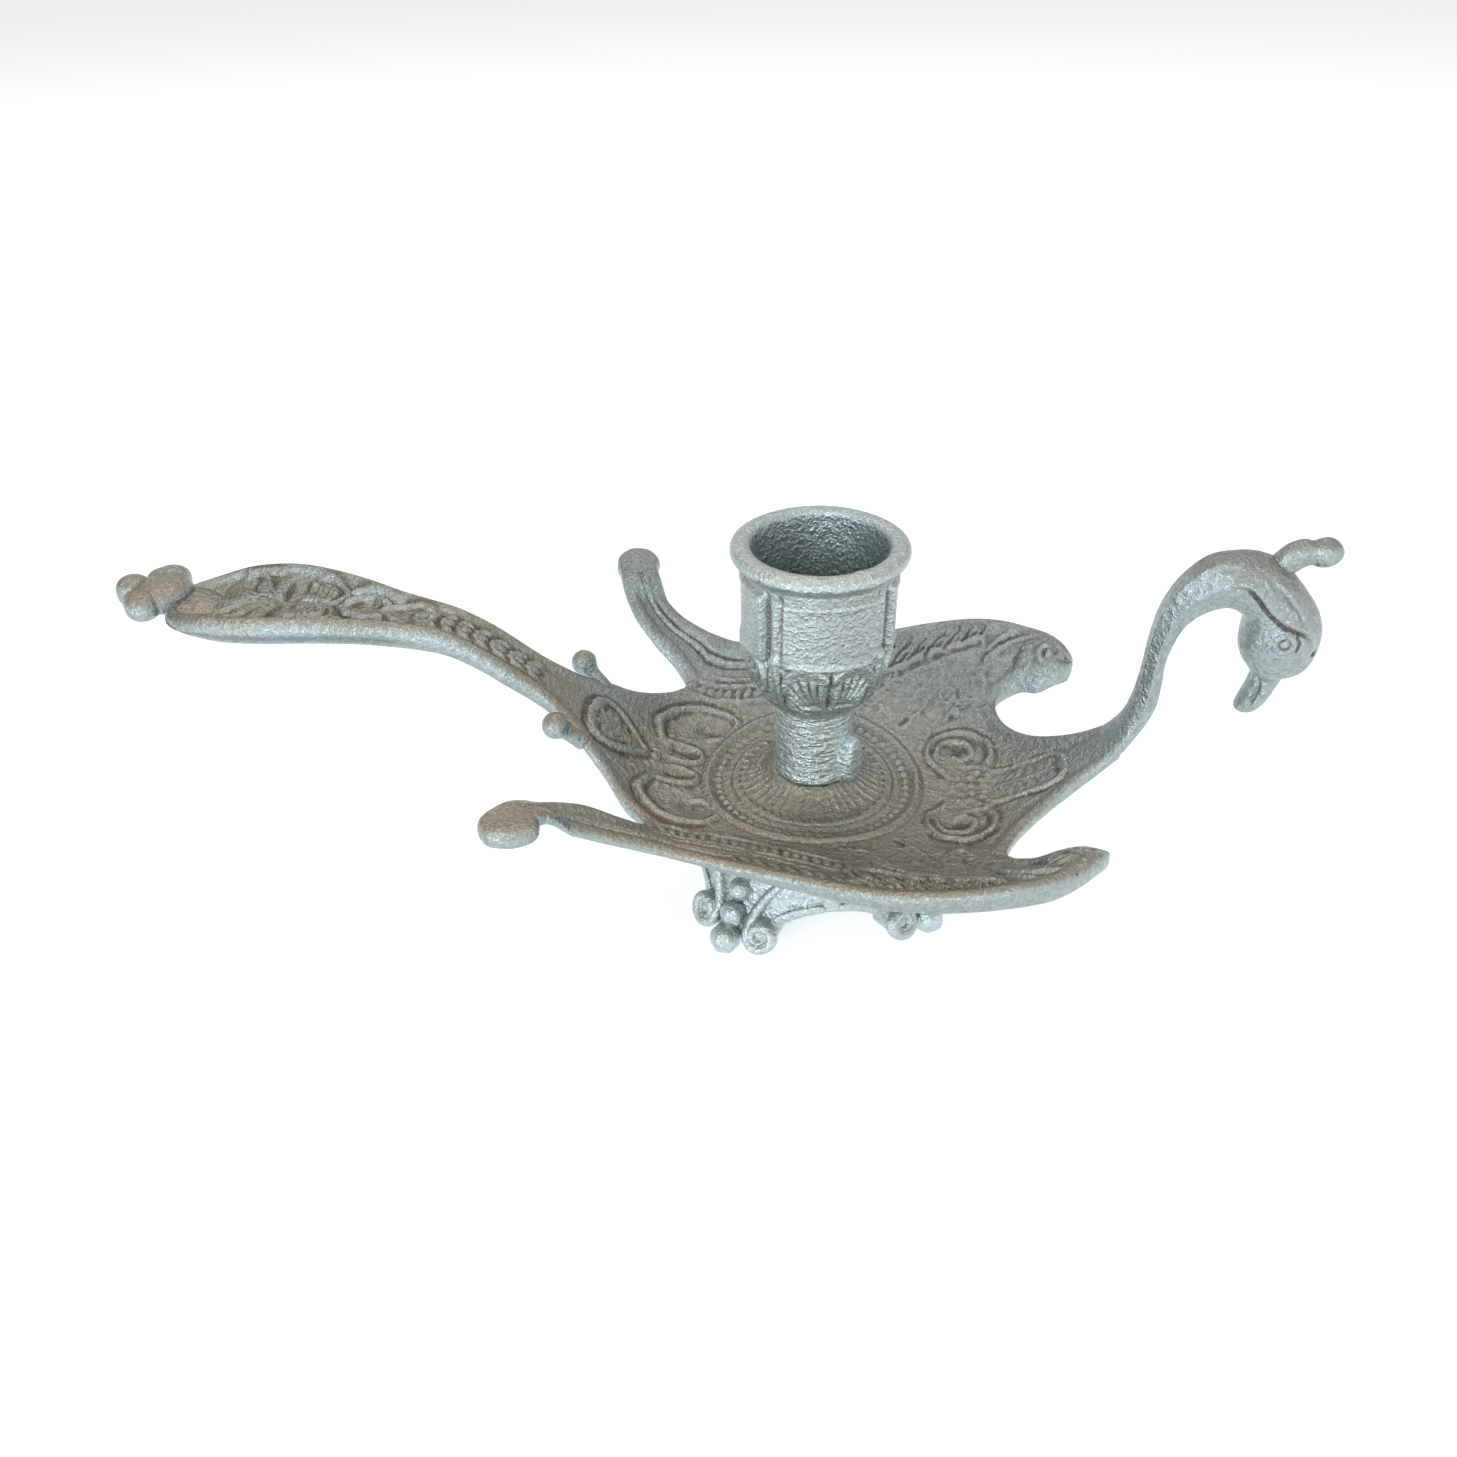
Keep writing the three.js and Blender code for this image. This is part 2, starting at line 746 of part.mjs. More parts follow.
// Low dome under the stem with shallow radial grooves; its foot follows the bowl of the dish.
function dome() {
  const rows = [[0, -bossBelow / 2], [domeRadius + 0.1, -bossBelow / 2]];
  for (const t of [0, 0.5, 1]) {
    rows.push([THREE.MathUtils.lerp(domeRadius, domeTopRadius, t), domeHeight]);
  }
  rows.push([0, domeHeight]);
  const grooved = (radius, z, angle) => {
    const groove = Math.round(angle * fluteCount * 2 / (Math.PI * 2)) % 2;
    const up = (domeRadius - radius) / (domeRadius - domeTopRadius);
    if (up < 0) return [radius, z];
    const foot = plateHeight(radius * Math.cos(angle), radius * Math.sin(angle)) + domeStep;
    const cut = up < 0.99 ? groove * fluteDepth : 0;
    return [radius - cut, THREE.MathUtils.lerp(foot, domeHeight, up ** 1.35)];
  };
  return solid(shapedRound(rows, fluteCount * 2, grooved));
}

// Ring-shaped ridge that lies on the dish.
function hoop(radius, halfWidth, height, segments) {
  const buried = plateThickness / 2;
  const profile = [
    [radius - halfWidth, -buried],
    [radius + halfWidth, -buried],
    [radius + halfWidth * 0.4, height],
    [radius - halfWidth * 0.4, height],
    [radius - halfWidth, -buried],
  ];
  const onDish = (r, z, angle) => [r, z + plateHeight(r * Math.cos(angle), r * Math.sin(angle))];
  return solid(shapedRound(profile, segments, onDish));
}

// Thick round seat under the dish, level below, where the stand bears.
function boss() {
  const rows = [
    [0, -bossBelow],
    [bossRadius, -bossBelow],
    [bossRadius, 0],
    [bossRadius / 2, 0],
    [0, -plateThickness / 2 + dishLevel],
  ];
  const seated = (radius, z, angle) => {
    if (z < 0) return [radius, z];
    return [radius, plateHeight(radius * Math.cos(angle), radius * Math.sin(angle)) - plateThickness / 2];
  };
  return solid(shapedRound(rows, 32, seated));
}

function feathers() {
  const blades = [];
  for (let i = 0; i < featherCount; i += 1) {
    const x = featherStart[0] + featherStep[0] * i;
    const y = featherStart[1] + featherStep[1] * i;
    const part = 1 - featherShrink * i;
    const [reachX, reachY] = featherReach.map((reach) => reach * part);
    const line = [
      [x, y],
      [x + reachX * 0.45, y + reachY * 0.62],
      [x + reachX, y + reachY],
    ];
    blades.push(bothSides(ridge(line, ridgeHalfWidth, ridgeHeight, 3)));
  }
  return blades;
}

function screwHole(depthBelow, top) {
  const radius = screwRadius + screwClearance;
  return solid(turned([[0, -depthBelow], [radius, -depthBelow], [radius, top], [0, top]], 24));
}

function swanTray() {
  const crestEnd = crestSections[crestSections.length - 1];
  const rollZ = plateHeight(lobeRoll.x, lobeRoll.y) - lobeRoll.sink;
  const roll = ellipsoid(
    lobeRoll.x,
    lobeRoll.y,
    rollZ,
    lobeRoll.halfLength,
    lobeRoll.halfWidth,
    lobeRoll.halfHeight,
    lobeRoll.turn,
    14,
  );
  const whole = joined([
    traySheet(),
    boss(),
    dome(),
    hoop(ringRadius, ringWidth / 2, ringHeight, 32),
    hoop(beadRingRadius, ringWidth * 0.36, ringHeight * 0.7, 32),
    solid(loft(filledIn(neckSections, 2), 12)),
    solid(loft(filledIn(crestSections, 2), 8)),
    solid(ellipsoid(crestEnd.x, 0, crestEnd.z, crestBallRadius, crestBallRadius, crestBallRadius)),
    bothSides(roll),
    hornDiscs(),
    ...finial(),
    ...spurs(),
    bothSides(ridge(rearCell, ridgeHalfWidth, ridgeHeight, 18)),
    bothSides(ridge(rearStem, ridgeHalfWidth, ridgeHeight, 8)),
    bothSides(ridge(frontVolute, ridgeHalfWidth, ridgeHeight, 14)),
    bothSides(ridge(breastLeaf, ridgeHalfWidth, ridgeHeight, 6)),
    bothSides(ridge(wingMidrib, ridgeHalfWidth, ridgeHeight, 18)),
    ...feathers(),
  ]);
  return geometryOf(whole.subtract(screwHole(bossBelow + 1, domeHeight + 1)));
}

// Outer radius of the stand's skirt at height z: it flares from the top plate down to the feet.
function skirtRadius(z) {
  const share = THREE.MathUtils.clamp((-bossBelow - z) / (standHeight - bossBelow), 0, 1);
  return THREE.MathUtils.lerp(standTopRadius, standFootRadius, share ** 1.5);
}

// Skirt of the stand with four arches, a scroll foot between each two arches. The skirt ends a little above
// the table, and the drop of each foot rests on it.
function footStand() {
  const top = -bossBelow;
  const floor = -standHeight;
  const outer = [0, 0.35, 0.7, 1].map((t) => {
    const z = THREE.MathUtils.lerp(top, floor, t);
    return [skirtRadius(z), z];
  });
  const under = top - standTopPlate;
  const inner = [[skirtRadius(under) - standWall, under]];
  for (const [radius, z] of outer) {
    if (z < under - 1) inner.push([radius - standWall, z]);
  }
  const profile = [[0, under], ...inner, ...outer.reverse(), [0, top]];
  const wide = standFootRadius * 2;
  const hem = new THREE.BoxGeometry(wide * 2, wide * 2, skirtClear);
  hem.translate(0, 0, floor + skirtClear / 2);
  const shell = solid(turned(profile, 48)).subtract(solid(hem));
  const arches = [];
  const feet = [];
  for (let i = 0; i < footCount; i += 1) {
    const footAngle = standTurn + (Math.PI / 4) + (i * 2 * Math.PI) / footCount;
    const archAngle = footAngle + Math.PI / footCount;
    arches.push(archCutter(archAngle, floor));
    feet.push(...scrollFoot(footAngle, floor));
  }
  const cut = arches.reduce((body, arch) => body.subtract(arch), shell);
  const whole = joined([cut, ...feet]);
  const below = new THREE.BoxGeometry(wide * 2, wide * 2, 4);
  below.translate(0, 0, floor - 2);
  return geometryOf(whole.subtract(solid(below)).subtract(screwHole(standHeight, 0)));
}

// Prism with an arched top that points outward along the given angle.
function archCutter(angle, floor) {
  const shape = new THREE.Shape();
  const steps = 10;
  shape.moveTo(archHalfWidth, -1);
  for (let i = 0; i <= steps; i += 1) {
    const turn = (i / steps) * Math.PI;
    shape.lineTo(archHalfWidth * Math.cos(turn), archHeight * Math.sin(turn) ** 0.8);
  }
  shape.lineTo(-archHalfWidth, -1);
  const geometry = new THREE.ExtrudeGeometry(shape, { depth: standFootRadius * 2, bevelEnabled: false });
  geometry.rotateX(Math.PI / 2);
  geometry.rotateZ(Math.PI);
  geometry.translate(0, 8, floor);
  geometry.rotateZ(angle - Math.PI / 2);
  return solid(geometry);
}

// Two rolled volutes, a drop between them and a ball above, all on the outside of the skirt.
function scrollFoot(angle, floor) {
  const pieces = [];
  const lowest = floor - padFlat;
  const voluteZ = floor + footVoluteHeight;
  const rollFace = skirtRadius(voluteZ) + footVoluteLength * 0.06;
  for (const side of [-1, 1]) {
    const y = side * footVoluteSpread;
    const inset = Math.sqrt(rollFace ** 2 - y ** 2) - rollFace;
    const face = rollFace + inset;
    const roll = new THREE.CylinderGeometry(footVoluteRadius, footVoluteRadius, footVoluteLength, 12);
    roll.rotateZ(Math.PI / 2);
    roll.translate(face - footVoluteLength / 2 + 0.8, y, voluteZ);
    const eye = ellipsoid(face + 0.8, y, voluteZ, 1, footVoluteRadius * 0.42, footVoluteRadius * 0.42);
    pieces.push(roll, eye);
    const strap = loft([0.12, 0.45, 0.82].map((share) => {
      const z = THREE.MathUtils.lerp(-bossBelow, voluteZ + footVoluteRadius, share);
      const out = side * THREE.MathUtils.lerp(footVoluteSpread / 2, footVoluteSpread, share ** 2);
      return {
        x: Math.sqrt(skirtRadius(z) ** 2 - out ** 2),
        y: out,
        z,
        high: strapThickness / 2,
        wide: strapWidth / 2,
        across: new THREE.Vector3(0, 1, 0),
      };
    }), 6);
    pieces.push(strap);
  }
  const dropZ = lowest + footDropHalfHeight;
  const dropX = skirtRadius(dropZ) + footDropRadius * 0.24;
  pieces.push(ellipsoid(dropX, 0, dropZ, footDropRadius, footDropRadius, footDropHalfHeight));
  const ballZ = lowest + footBallHeight;
  const ballX = skirtRadius(ballZ) + footBallRadius * 0.3;
  pieces.push(ellipsoid(ballX, 0, ballZ, footBallRadius, footBallRadius, footBallRadius));
  return pieces.map((piece) => {
    piece.rotateZ(angle);
    return solid(piece);
  });
}

function candleSocket() {
  const boreRadius = candleBore / 2;
  const boreFloor = socketTop - boreDepth;
  const holeRadius = screwRadius + screwClearance;
  const holeTop = domeHeight + screwReach + 1;
  const lipFoot = socketTop - lipHeight;
  const rows = [
    [0, holeTop],
    [holeRadius, holeTop],
    [holeRadius, domeHeight],
    [stemRadius * 0.97, domeHeight],
    [stemWaist + 0.2, domeHeight + 1.4],
    [stemWaist, domeHeight + 7],
    [stemRadius, leafBottom - 0.6],
    [stemRadius + 0.7, leafBottom],
    [8.8, leafBottom + 1.2],
    [10.6, leafBottom + 4],
    [11.9, leafBottom + 7.4],
    [12.5, leafBottom + 10],
    [cupRadius, panelBottom - 0.9],
    [cupRadius, panelBottom],
    [cupRadius, panelBottom + 0.8],
    [cupRadius, panelTop - 0.8],
    [cupRadius, panelTop],
    [cupRadius + 0.2, lipFoot],
    [lipRadius - 0.7, lipFoot + 0.9],
    [lipRadius, lipFoot + 2.1],
    [lipRadius - 0.4, lipFoot + 3.3],
    [lipRadius - 1.5, socketTop],
    [boreRadius + 0.9, socketTop],
    [boreRadius, socketTop - 0.8],
    [boreRadius, boreFloor],
    [0, boreFloor],
  ];
  const quarter = (Math.PI * 2) / panelCount;
  const radiusAt = (radius, z, angle) => {
    if (radius < boreRadius + 0.1 && z > boreFloor - 0.1) return radius;
    const fromPanel = Math.abs(((angle + quarter / 2) % quarter) - quarter / 2);
    if (z > panelBottom + 0.1 && z < panelTop - 0.1 && radius <= cupRadius) {
      return fromPanel < panelHalfAngle ? radius + panelRelief : radius;
    }
    if (z > leafBottom + 2 && z < panelBottom - 0.5) {
      const lobe = 0.5 + 0.5 * Math.cos(angle * leafCount);
      const growth = (z - leafBottom) / (panelBottom - leafBottom);
      return radius + leafTipRelief * lobe * growth;
    }
    return radius;
  };
  const cup = shapedRound(rows, leafCount * 3, (radius, z, angle) => [radiusAt(radius, z, angle), z]);
  cup.rotateZ(socketTurn);
  const lug = new THREE.BoxGeometry(3, lugWidth, lugHeight);
  lug.translate(stemWaist + lugProud - 1.5, 0, domeHeight + lugHeight / 2 + 0.2);
  lug.rotateZ(lugAngle);
  return geometryOf(solid(cup).add(solid(lug)));
}

function tieScrew() {
  const seat = -bossBelow - standTopPlate - washerThickness;
  const top = domeHeight + screwReach;
  const body = solid(turned([
    [0, seat - screwHeadHeight],
    [screwHeadRadius - 0.4, seat - screwHeadHeight],
    [screwHeadRadius, seat - screwHeadHeight + 0.4],
    [screwHeadRadius, seat],
    [screwRadius, seat],
    [screwRadius, top - 0.6],
    [screwRadius - 0.6, top],
    [0, top],
  ], 24));
  const slot = new THREE.BoxGeometry(screwHeadRadius * 3, screwSlotWidth, screwSlotDepth * 2);
  slot.translate(0, 0, seat - screwHeadHeight);
  return geometryOf(body.subtract(solid(slot)));
}

function washer() {
  const top = -bossBelow - standTopPlate;
  const hole = screwRadius + screwClearance;
  return turned([
    [hole, top - washerThickness],
    [washerRadius, top - washerThickness],
    [washerRadius, top],
    [hole, top],
    [hole, top - washerThickness],
  ], 24);
}

const candlestick = new THREE.Group();
candlestick.name = 'gooseneck_candlestick';

function place(name, geometry, look) {
  const mesh = new THREE.Mesh(geometry, new THREE.MeshStandardMaterial(look));
  mesh.name = name;
  candlestick.add(mesh);
}

place('swan_tray', swanTray(), lightMetal);
place('foot_stand', footStand(), lightMetal);
place('candle_socket', candleSocket(), lightMetal);
place('tie_screw', tieScrew(), screwMetal);
place('washer', washer(), screwMetal);

const bounds = new THREE.Box3().setFromObject(candlestick);
const centre = bounds.getCenter(new THREE.Vector3());
for (const mesh of candlestick.children) {
  mesh.geometry.translate(-centre.x, -centre.y, -bounds.min.z);
}

export default candlestick;
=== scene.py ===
"""Looks of a cast gooseneck candlestick: tray with relief, neck and head, socket, stand, metal and light."""

import math

import bpy
import numpy as np
from mathutils import Matrix, Vector


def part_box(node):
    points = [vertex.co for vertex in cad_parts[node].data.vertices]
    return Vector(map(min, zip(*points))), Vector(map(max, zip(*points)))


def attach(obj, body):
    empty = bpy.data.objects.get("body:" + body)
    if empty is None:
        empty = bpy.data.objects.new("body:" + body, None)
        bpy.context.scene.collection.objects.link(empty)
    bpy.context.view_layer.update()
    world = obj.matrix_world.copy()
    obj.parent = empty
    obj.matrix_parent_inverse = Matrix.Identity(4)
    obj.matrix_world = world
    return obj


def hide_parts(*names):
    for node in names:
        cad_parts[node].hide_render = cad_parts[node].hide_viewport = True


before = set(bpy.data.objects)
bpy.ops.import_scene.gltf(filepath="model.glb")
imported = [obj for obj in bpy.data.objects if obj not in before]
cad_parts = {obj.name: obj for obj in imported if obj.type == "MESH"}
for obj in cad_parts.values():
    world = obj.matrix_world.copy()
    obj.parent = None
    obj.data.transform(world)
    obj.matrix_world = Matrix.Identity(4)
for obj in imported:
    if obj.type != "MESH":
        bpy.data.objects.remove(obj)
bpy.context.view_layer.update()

bl_info = {
    "name": "Gooseneck candlestick looks",
    "version": (1, 0, 0),
    "blender": (4, 5, 0),
    "location": "3D View > Sidebar > Candlestick",
    "description": "Builds the surfaces, metal, light and camera of a cast gooseneck candlestick",
    "category": "Object",
}

MM = 0.001


def stem_axis():
    """Place of the stem's axis in the frame: the middle of the washer, in metres."""
    low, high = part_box("washer")
    return (low.x + high.x) / 2, (low.y + high.y) / 2


STEM_X, STEM_Y = stem_axis()
# Height of the tray's level over the floor, in millimetres. All other heights are counted from that level.
STAND_HEIGHT = 23.0

# Rise of the plate's upper face along the middle line and along a wing, in millimetres from the stem.
MIDDLE_RISE = (
    (-116, 28.9), (-109.4, 29.4), (-104, 30), (-96, 30.4), (-88, 30.4), (-79.5, 30.1), (-73.5, 29.5),
    (-68, 28.7), (-64, 27.7), (-60.6, 26.1), (-57.1, 24), (-53.7, 21.6), (-50.2, 19.2), (-46.8, 16.8),
    (-43, 13.7), (-39.3, 10.6), (-35.8, 7.2), (-31.1, 2.9), (-26.8, 0.9), (-22, -0.4), (-18, -1), (22, -1),
    (26.5, -0.8), (30, -0.2), (33.6, 0.9), (37.4, 2.8), (41.3, 5.3), (46.6, 9.2), (52, 14),
)
WING_RISE = (
    (-53, 10.2), (-46, 8.1), (-40, 6.1), (-36, 4.9), (-33, 3.8), (-27, 1.2), (-21, -0.8), (-16, -1),
    (14, -1), (22.5, -0.6), (29, 0.2), (33.6, 1), (38, 1.9), (42.5, 3.1), (47, 4),
)
# Extra rise of a wing's outer part: the horn, the long middle and the front lobe.
OUTER_LIFT = (
    (-44, 2.9), (-40, 3.3), (-36, 2.9), (-33, 2.4), (-30, 2.2), (-27, 2.4), (-24, 2.6), (-21, 2.7),
    (-18, 2.3), (-8, 1.2), (0, 0.7), (8, 0.5), (14.5, 0.7), (18.5, 1.1), (22.4, 1.5), (29.2, 2.1),
    (35.9, 2.4), (42.4, 2.1), (47, 1.6),
)
# Bowl of the dish, height = BOWL_CURVE y^2, and the hollow floor of the handle: its depth and half width.
BOWL_CURVE = 0.006
HANDLE_HOLLOW, HANDLE_HALF = 0.9, 10.0
# Extra depth of a wing's outer rim, as a share of the lobe's.
RIM_DEPTH = (
    (-40, -0.2), (-33, -0.5), (-18, -0.6), (-8, -0.3), (0, 0), (16, 0.45), (30, 0.8), (38, 1), (42, 0.6),
    (47.4, -0.1),
)
# Round end of a horn: place in plan, height and slope of its top face, radius and thickness.
HORN_X, HORN_Y, HORN_TOP, HORN_SLOPE, HORN_RADIUS, HORN_THICKNESS = -39.9, 42.0, 20.1, 0.21, 4.4, 3.5
HORN_REACH = 9.0
# The casting isn't quite even: how far the horn on the side of negative y is moved.
NEAR_HORN_SHIFT = (-2.1, 0.2, 0.5)
# Swollen curl of a front lobe: middle, direction, height and the two radii of the swelling.
LOBE_X, LOBE_Y, LOBE_TURN, LOBE_RISE = 42.0, 29.2, -0.35, 2.7
LOBE_LONG, LOBE_WIDE = 5.4, 4.1
# Edge of one half of the tray in plan, in three lines: tail, handle, rear notch and horn; wing and lobe;
# lobe, front notch and breast. The knots of the notches and of the ends of horn and lobe are counted from 0.
BODY_AND_HORN_EDGE = (
    (-115.6, 3.6), (-113.6, 6.5), (-109.6, 9.2), (-102.9, 11), (-94.5, 11.4), (-84.7, 9.5), (-74, 6.8),
    (-64.6, 5.6), (-55.3, 5.4), (-48.4, 5.3), (-43, 7.1), (-38.8, 10.2), (-35.4, 12.7), (-31.3, 17),
    (-28.6, 19.2), (-26.9, 21.6), (-29.6, 24.4), (-34.3, 26.6), (-38.1, 29.8), (-41.4, 34.9), (-43.2, 39.6),
)
REAR_NOTCH = 15
WING_EDGE = (
    (-36.2, 41.6), (-34.5, 38.9), (-32.3, 36.4), (-28.4, 34.5), (-22.5, 33.2), (-16.2, 33.1), (-2, 35.6),
    (13.6, 39.5), (22.5, 40.5), (29.4, 40.2), (35, 38.8), (39.5, 36.8), (42.9, 34.6), (45.7, 31.6),
    (47.1, 29.1), (47.4, 27.6),
)
HORN_END, LOBE_START = 4, 10
LOBE_AND_BREAST_EDGE = (
    (47.4, 27.6), (46.6, 26), (44.4, 25), (41.2, 24.2), (37.4, 25.2), (33.6, 22.3), (34.6, 17.5),
    (37.4, 13.2), (41.3, 9.6), (46.6, 6.4), (51.6, 4.3),
)
FRONT_NOTCH = 5


# Shape helpers


def ease(value, low, high):
    """0 below low, 1 above high, a smooth S between them."""
    t = np.clip((value - low) / (high - low), 0.0, 1.0)
    return t * t * (3 - 2 * t)


def through(knots, x):
    """Smooth value at x through knots (x, value): a cubic whose slope at a knot is that of its neighbours."""
    at, value = np.array(knots, float).T
    x = np.clip(np.asarray(x, float), at[0], at[-1])
    k = np.clip(np.searchsorted(at, x, side="right") - 1, 0, len(at) - 2)
    slope = np.empty(len(at))
    slope[1:-1] = (value[2:] - value[:-2]) / (at[2:] - at[:-2])
    slope[0] = (value[1] - value[0]) / (at[1] - at[0])
    slope[-1] = (value[-1] - value[-2]) / (at[-1] - at[-2])
    span = at[k + 1] - at[k]
    t = (x - at[k]) / span
    rise = value[k + 1] - value[k]
    start = slope[k] * span - rise
    end = rise - slope[k + 1] * span
    return value[k] + rise * t + t * (1 - t) * (start * (1 - t) + end * t)


def curve_at(points, t):
    """Places on the smooth curve through points; t counts them. A stretch is the usual four-point cubic."""
    p = np.asarray(points, float)
    k = np.clip(np.floor(t).astype(int), 0, len(p) - 2)
    u = (t - k)[:, None]
    a, b, c, d = (p[np.clip(k + i, 0, len(p) - 1)] for i in (-1, 0, 1, 2))
    bend, twist = 2 * a - 5 * b + 4 * c - d, 3 * b - a - 3 * c + d
    return 0.5 * (2 * b + (c - a) * u + bend * u**2 + twist * u**3)


def evenly(points, count, start=0, end=None):
    """The curve from knot start to knot end as count + 1 points at equal distances, and its unit tangents."""
    end = len(points) - 1 if end is None else end
    t = np.linspace(start, end, 40 * abs(end - start) + 1)
    dense = curve_at(points, t)
    length = np.r_[0, np.cumsum(np.linalg.norm(np.diff(dense, axis=0), axis=1))]
    t = np.interp(np.linspace(0, length[-1], count + 1), length, t)
    step = 1e-4 * np.sign(end - start)
    last = len(points) - 1
    way = curve_at(points, np.clip(t + step, 0, last)) - curve_at(points, np.clip(t - step, 0, last))
    return curve_at(points, t), way / np.linalg.norm(way, axis=1, keepdims=True)


def horn_share(x, y):
    """1 on the round end of a horn, 0 from HORN_REACH away from its middle."""
    return 1 - ease(np.hypot(x - HORN_X, np.abs(y) - HORN_Y), HORN_RADIUS, HORN_REACH)


def plate_height(x, y):
    """Upper face of the plate: a bowl BOWL_CURVE y^2, plus the middle rise blended into the wing rise from
    |y| = 17 to 20.5, less the hollow of the handle. A wing's outer part rises more, on a horn from closer to
    the middle, the curled front lobe swells, and near a horn's end the face meets that end's top."""
    out = np.abs(y)
    share = ease(out, 17.0, 20.5)
    height = BOWL_CURVE * out**2 + (1 - share) * through(MIDDLE_RISE, x) + share * through(WING_RISE, x)
    hollow = HANDLE_HOLLOW * ease(-x, 52, 76) * (1 - ease(-x, 108, 114))
    height = height - hollow * (1 - ease(out / HANDLE_HALF, 0.3, 1))
    height = height + through(OUTER_LIFT, x) * ease((out - 20.0) / (8 + 8 * ease(x, -34, -10)), 0, 1)
    c, s = math.cos(LOBE_TURN), math.sin(LOBE_TURN)
    along, beside = (x - LOBE_X) * c + (out - LOBE_Y) * s, (out - LOBE_Y) * c - (x - LOBE_X) * s
    height = height + LOBE_RISE * np.exp(-(((along / LOBE_LONG) ** 2 + (beside / LOBE_WIDE) ** 2) ** 1.3))
    end_level = HORN_TOP - 0.6 + HORN_SLOPE * (out - HORN_Y)
    return height + (end_level - height) * horn_share(x, y)


def waves(points, scale, seed=0.0):
    """Slow, hand-made unevenness between about -1 and 1: a sum of six sine waves in fixed directions."""
    value = np.zeros(len(points))
    for k in range(6):
        turn = 1.7 * k + seed
        way = np.array([math.cos(turn), math.sin(turn), math.sin(2.3 * turn)])[: points.shape[1]]
        value += np.sin(points @ way * (1 + 0.31 * k) * scale + 4.1 * k + seed) / (1.6 + 0.5 * k)
    return value / 2


def unsteady(points, reach):
    """Sideways shifts of a plane drawing, up to about reach, as a hand that draws it would make them."""
    slow = np.stack([waves(points, 0.8, 1.0), waves(points, 0.8, 2.0)], -1)
    quick = np.stack([waves(points, 2.7, 3.0), waves(points, 2.7, 4.0)], -1)
    return reach * (slow + 0.45 * quick)


def grid_faces(rows, columns, around=False, first=0):
    """Four-cornered faces of a grid of points, rows by columns; around joins the last column to the first."""
    j = np.arange(columns if around else columns - 1)
    i = np.arange(rows - 1)[:, None]
    k = (j + 1) % columns
    faces = np.stack([i * columns + j, i * columns + k, (i + 1) * columns + k, (i + 1) * columns + j], -1)
    return faces.reshape(-1, 4) + first


def put_together(parts):
    """One point array and one face array from several (points, faces)."""
    points, faces, start = [], [], 0
    for some, cells in parts:
        points.append(some)
        faces.append(cells + start)
        start += len(some)
    return np.concatenate(points), np.concatenate(faces)


def closed_piece(name, points, faces, material, slot, hollow=None, replaces=()):
    """Mesh object from points in millimetres round the stem and four-cornered faces. Equal points are made
    one, faces that shrink to a line go, and the faces are turned outwards by the sign of the volume."""
    cells = np.round(points * 2000).astype(np.int64)
    _, first, where = np.unique(cells, axis=0, return_index=True, return_inverse=True)
    faces = where.reshape(-1)[faces]
    same = faces == np.roll(faces, -1, axis=1)
    three = same.sum(1) == 1
    triangles = faces[three][~same[three]].reshape(-1, 3)
    faces = faces[same.sum(1) == 0]
    points = points[first]
    fans = np.concatenate([faces[:, [0, 1, 2]], faces[:, [0, 2, 3]], triangles])
    a, b, c = points[fans[:, 0]], points[fans[:, 1]], points[fans[:, 2]]
    if np.einsum("ij,ij->", a, np.cross(b, c)) < 0:
        faces, triangles = faces[:, ::-1], triangles[:, ::-1]
    place = points * MM + [STEM_X, STEM_Y, STAND_HEIGHT * MM]
    corners = np.concatenate([faces.ravel(), triangles.ravel()]).astype(np.int32)
    sizes = np.concatenate([np.full(len(faces), 4), np.full(len(triangles), 3)])
    mesh = bpy.data.meshes.new(name)
    mesh.vertices.add(len(place))
    mesh.vertices.foreach_set("co", place.astype(np.float32).ravel())
    mesh.loops.add(len(corners))
    mesh.loops.foreach_set("vertex_index", corners)
    mesh.polygons.add(len(sizes))
    mesh.polygons.foreach_set("loop_start", (np.cumsum(sizes) - sizes).astype(np.int32))
    mesh.polygons.foreach_set("use_smooth", np.ones(len(sizes), bool))
    mesh.update(calc_edges=True)
    # The hollow attribute is high in hollows and the bore, where it paints shade, and low on worn ridges,
    # which it brightens.
    values = np.zeros(len(place)) if hollow is None else np.asarray(hollow)[first]
    field = mesh.attributes.new("hollow", "FLOAT", "POINT")
    field.data.foreach_set("value", values.astype(np.float32))
    mesh.materials.append(material)
    piece = bpy.data.objects.new(name, mesh)
    bpy.context.scene.collection.objects.link(piece)
    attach(piece, "root")
    if replaces:
        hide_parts(*replaces)
    return piece


# Relief


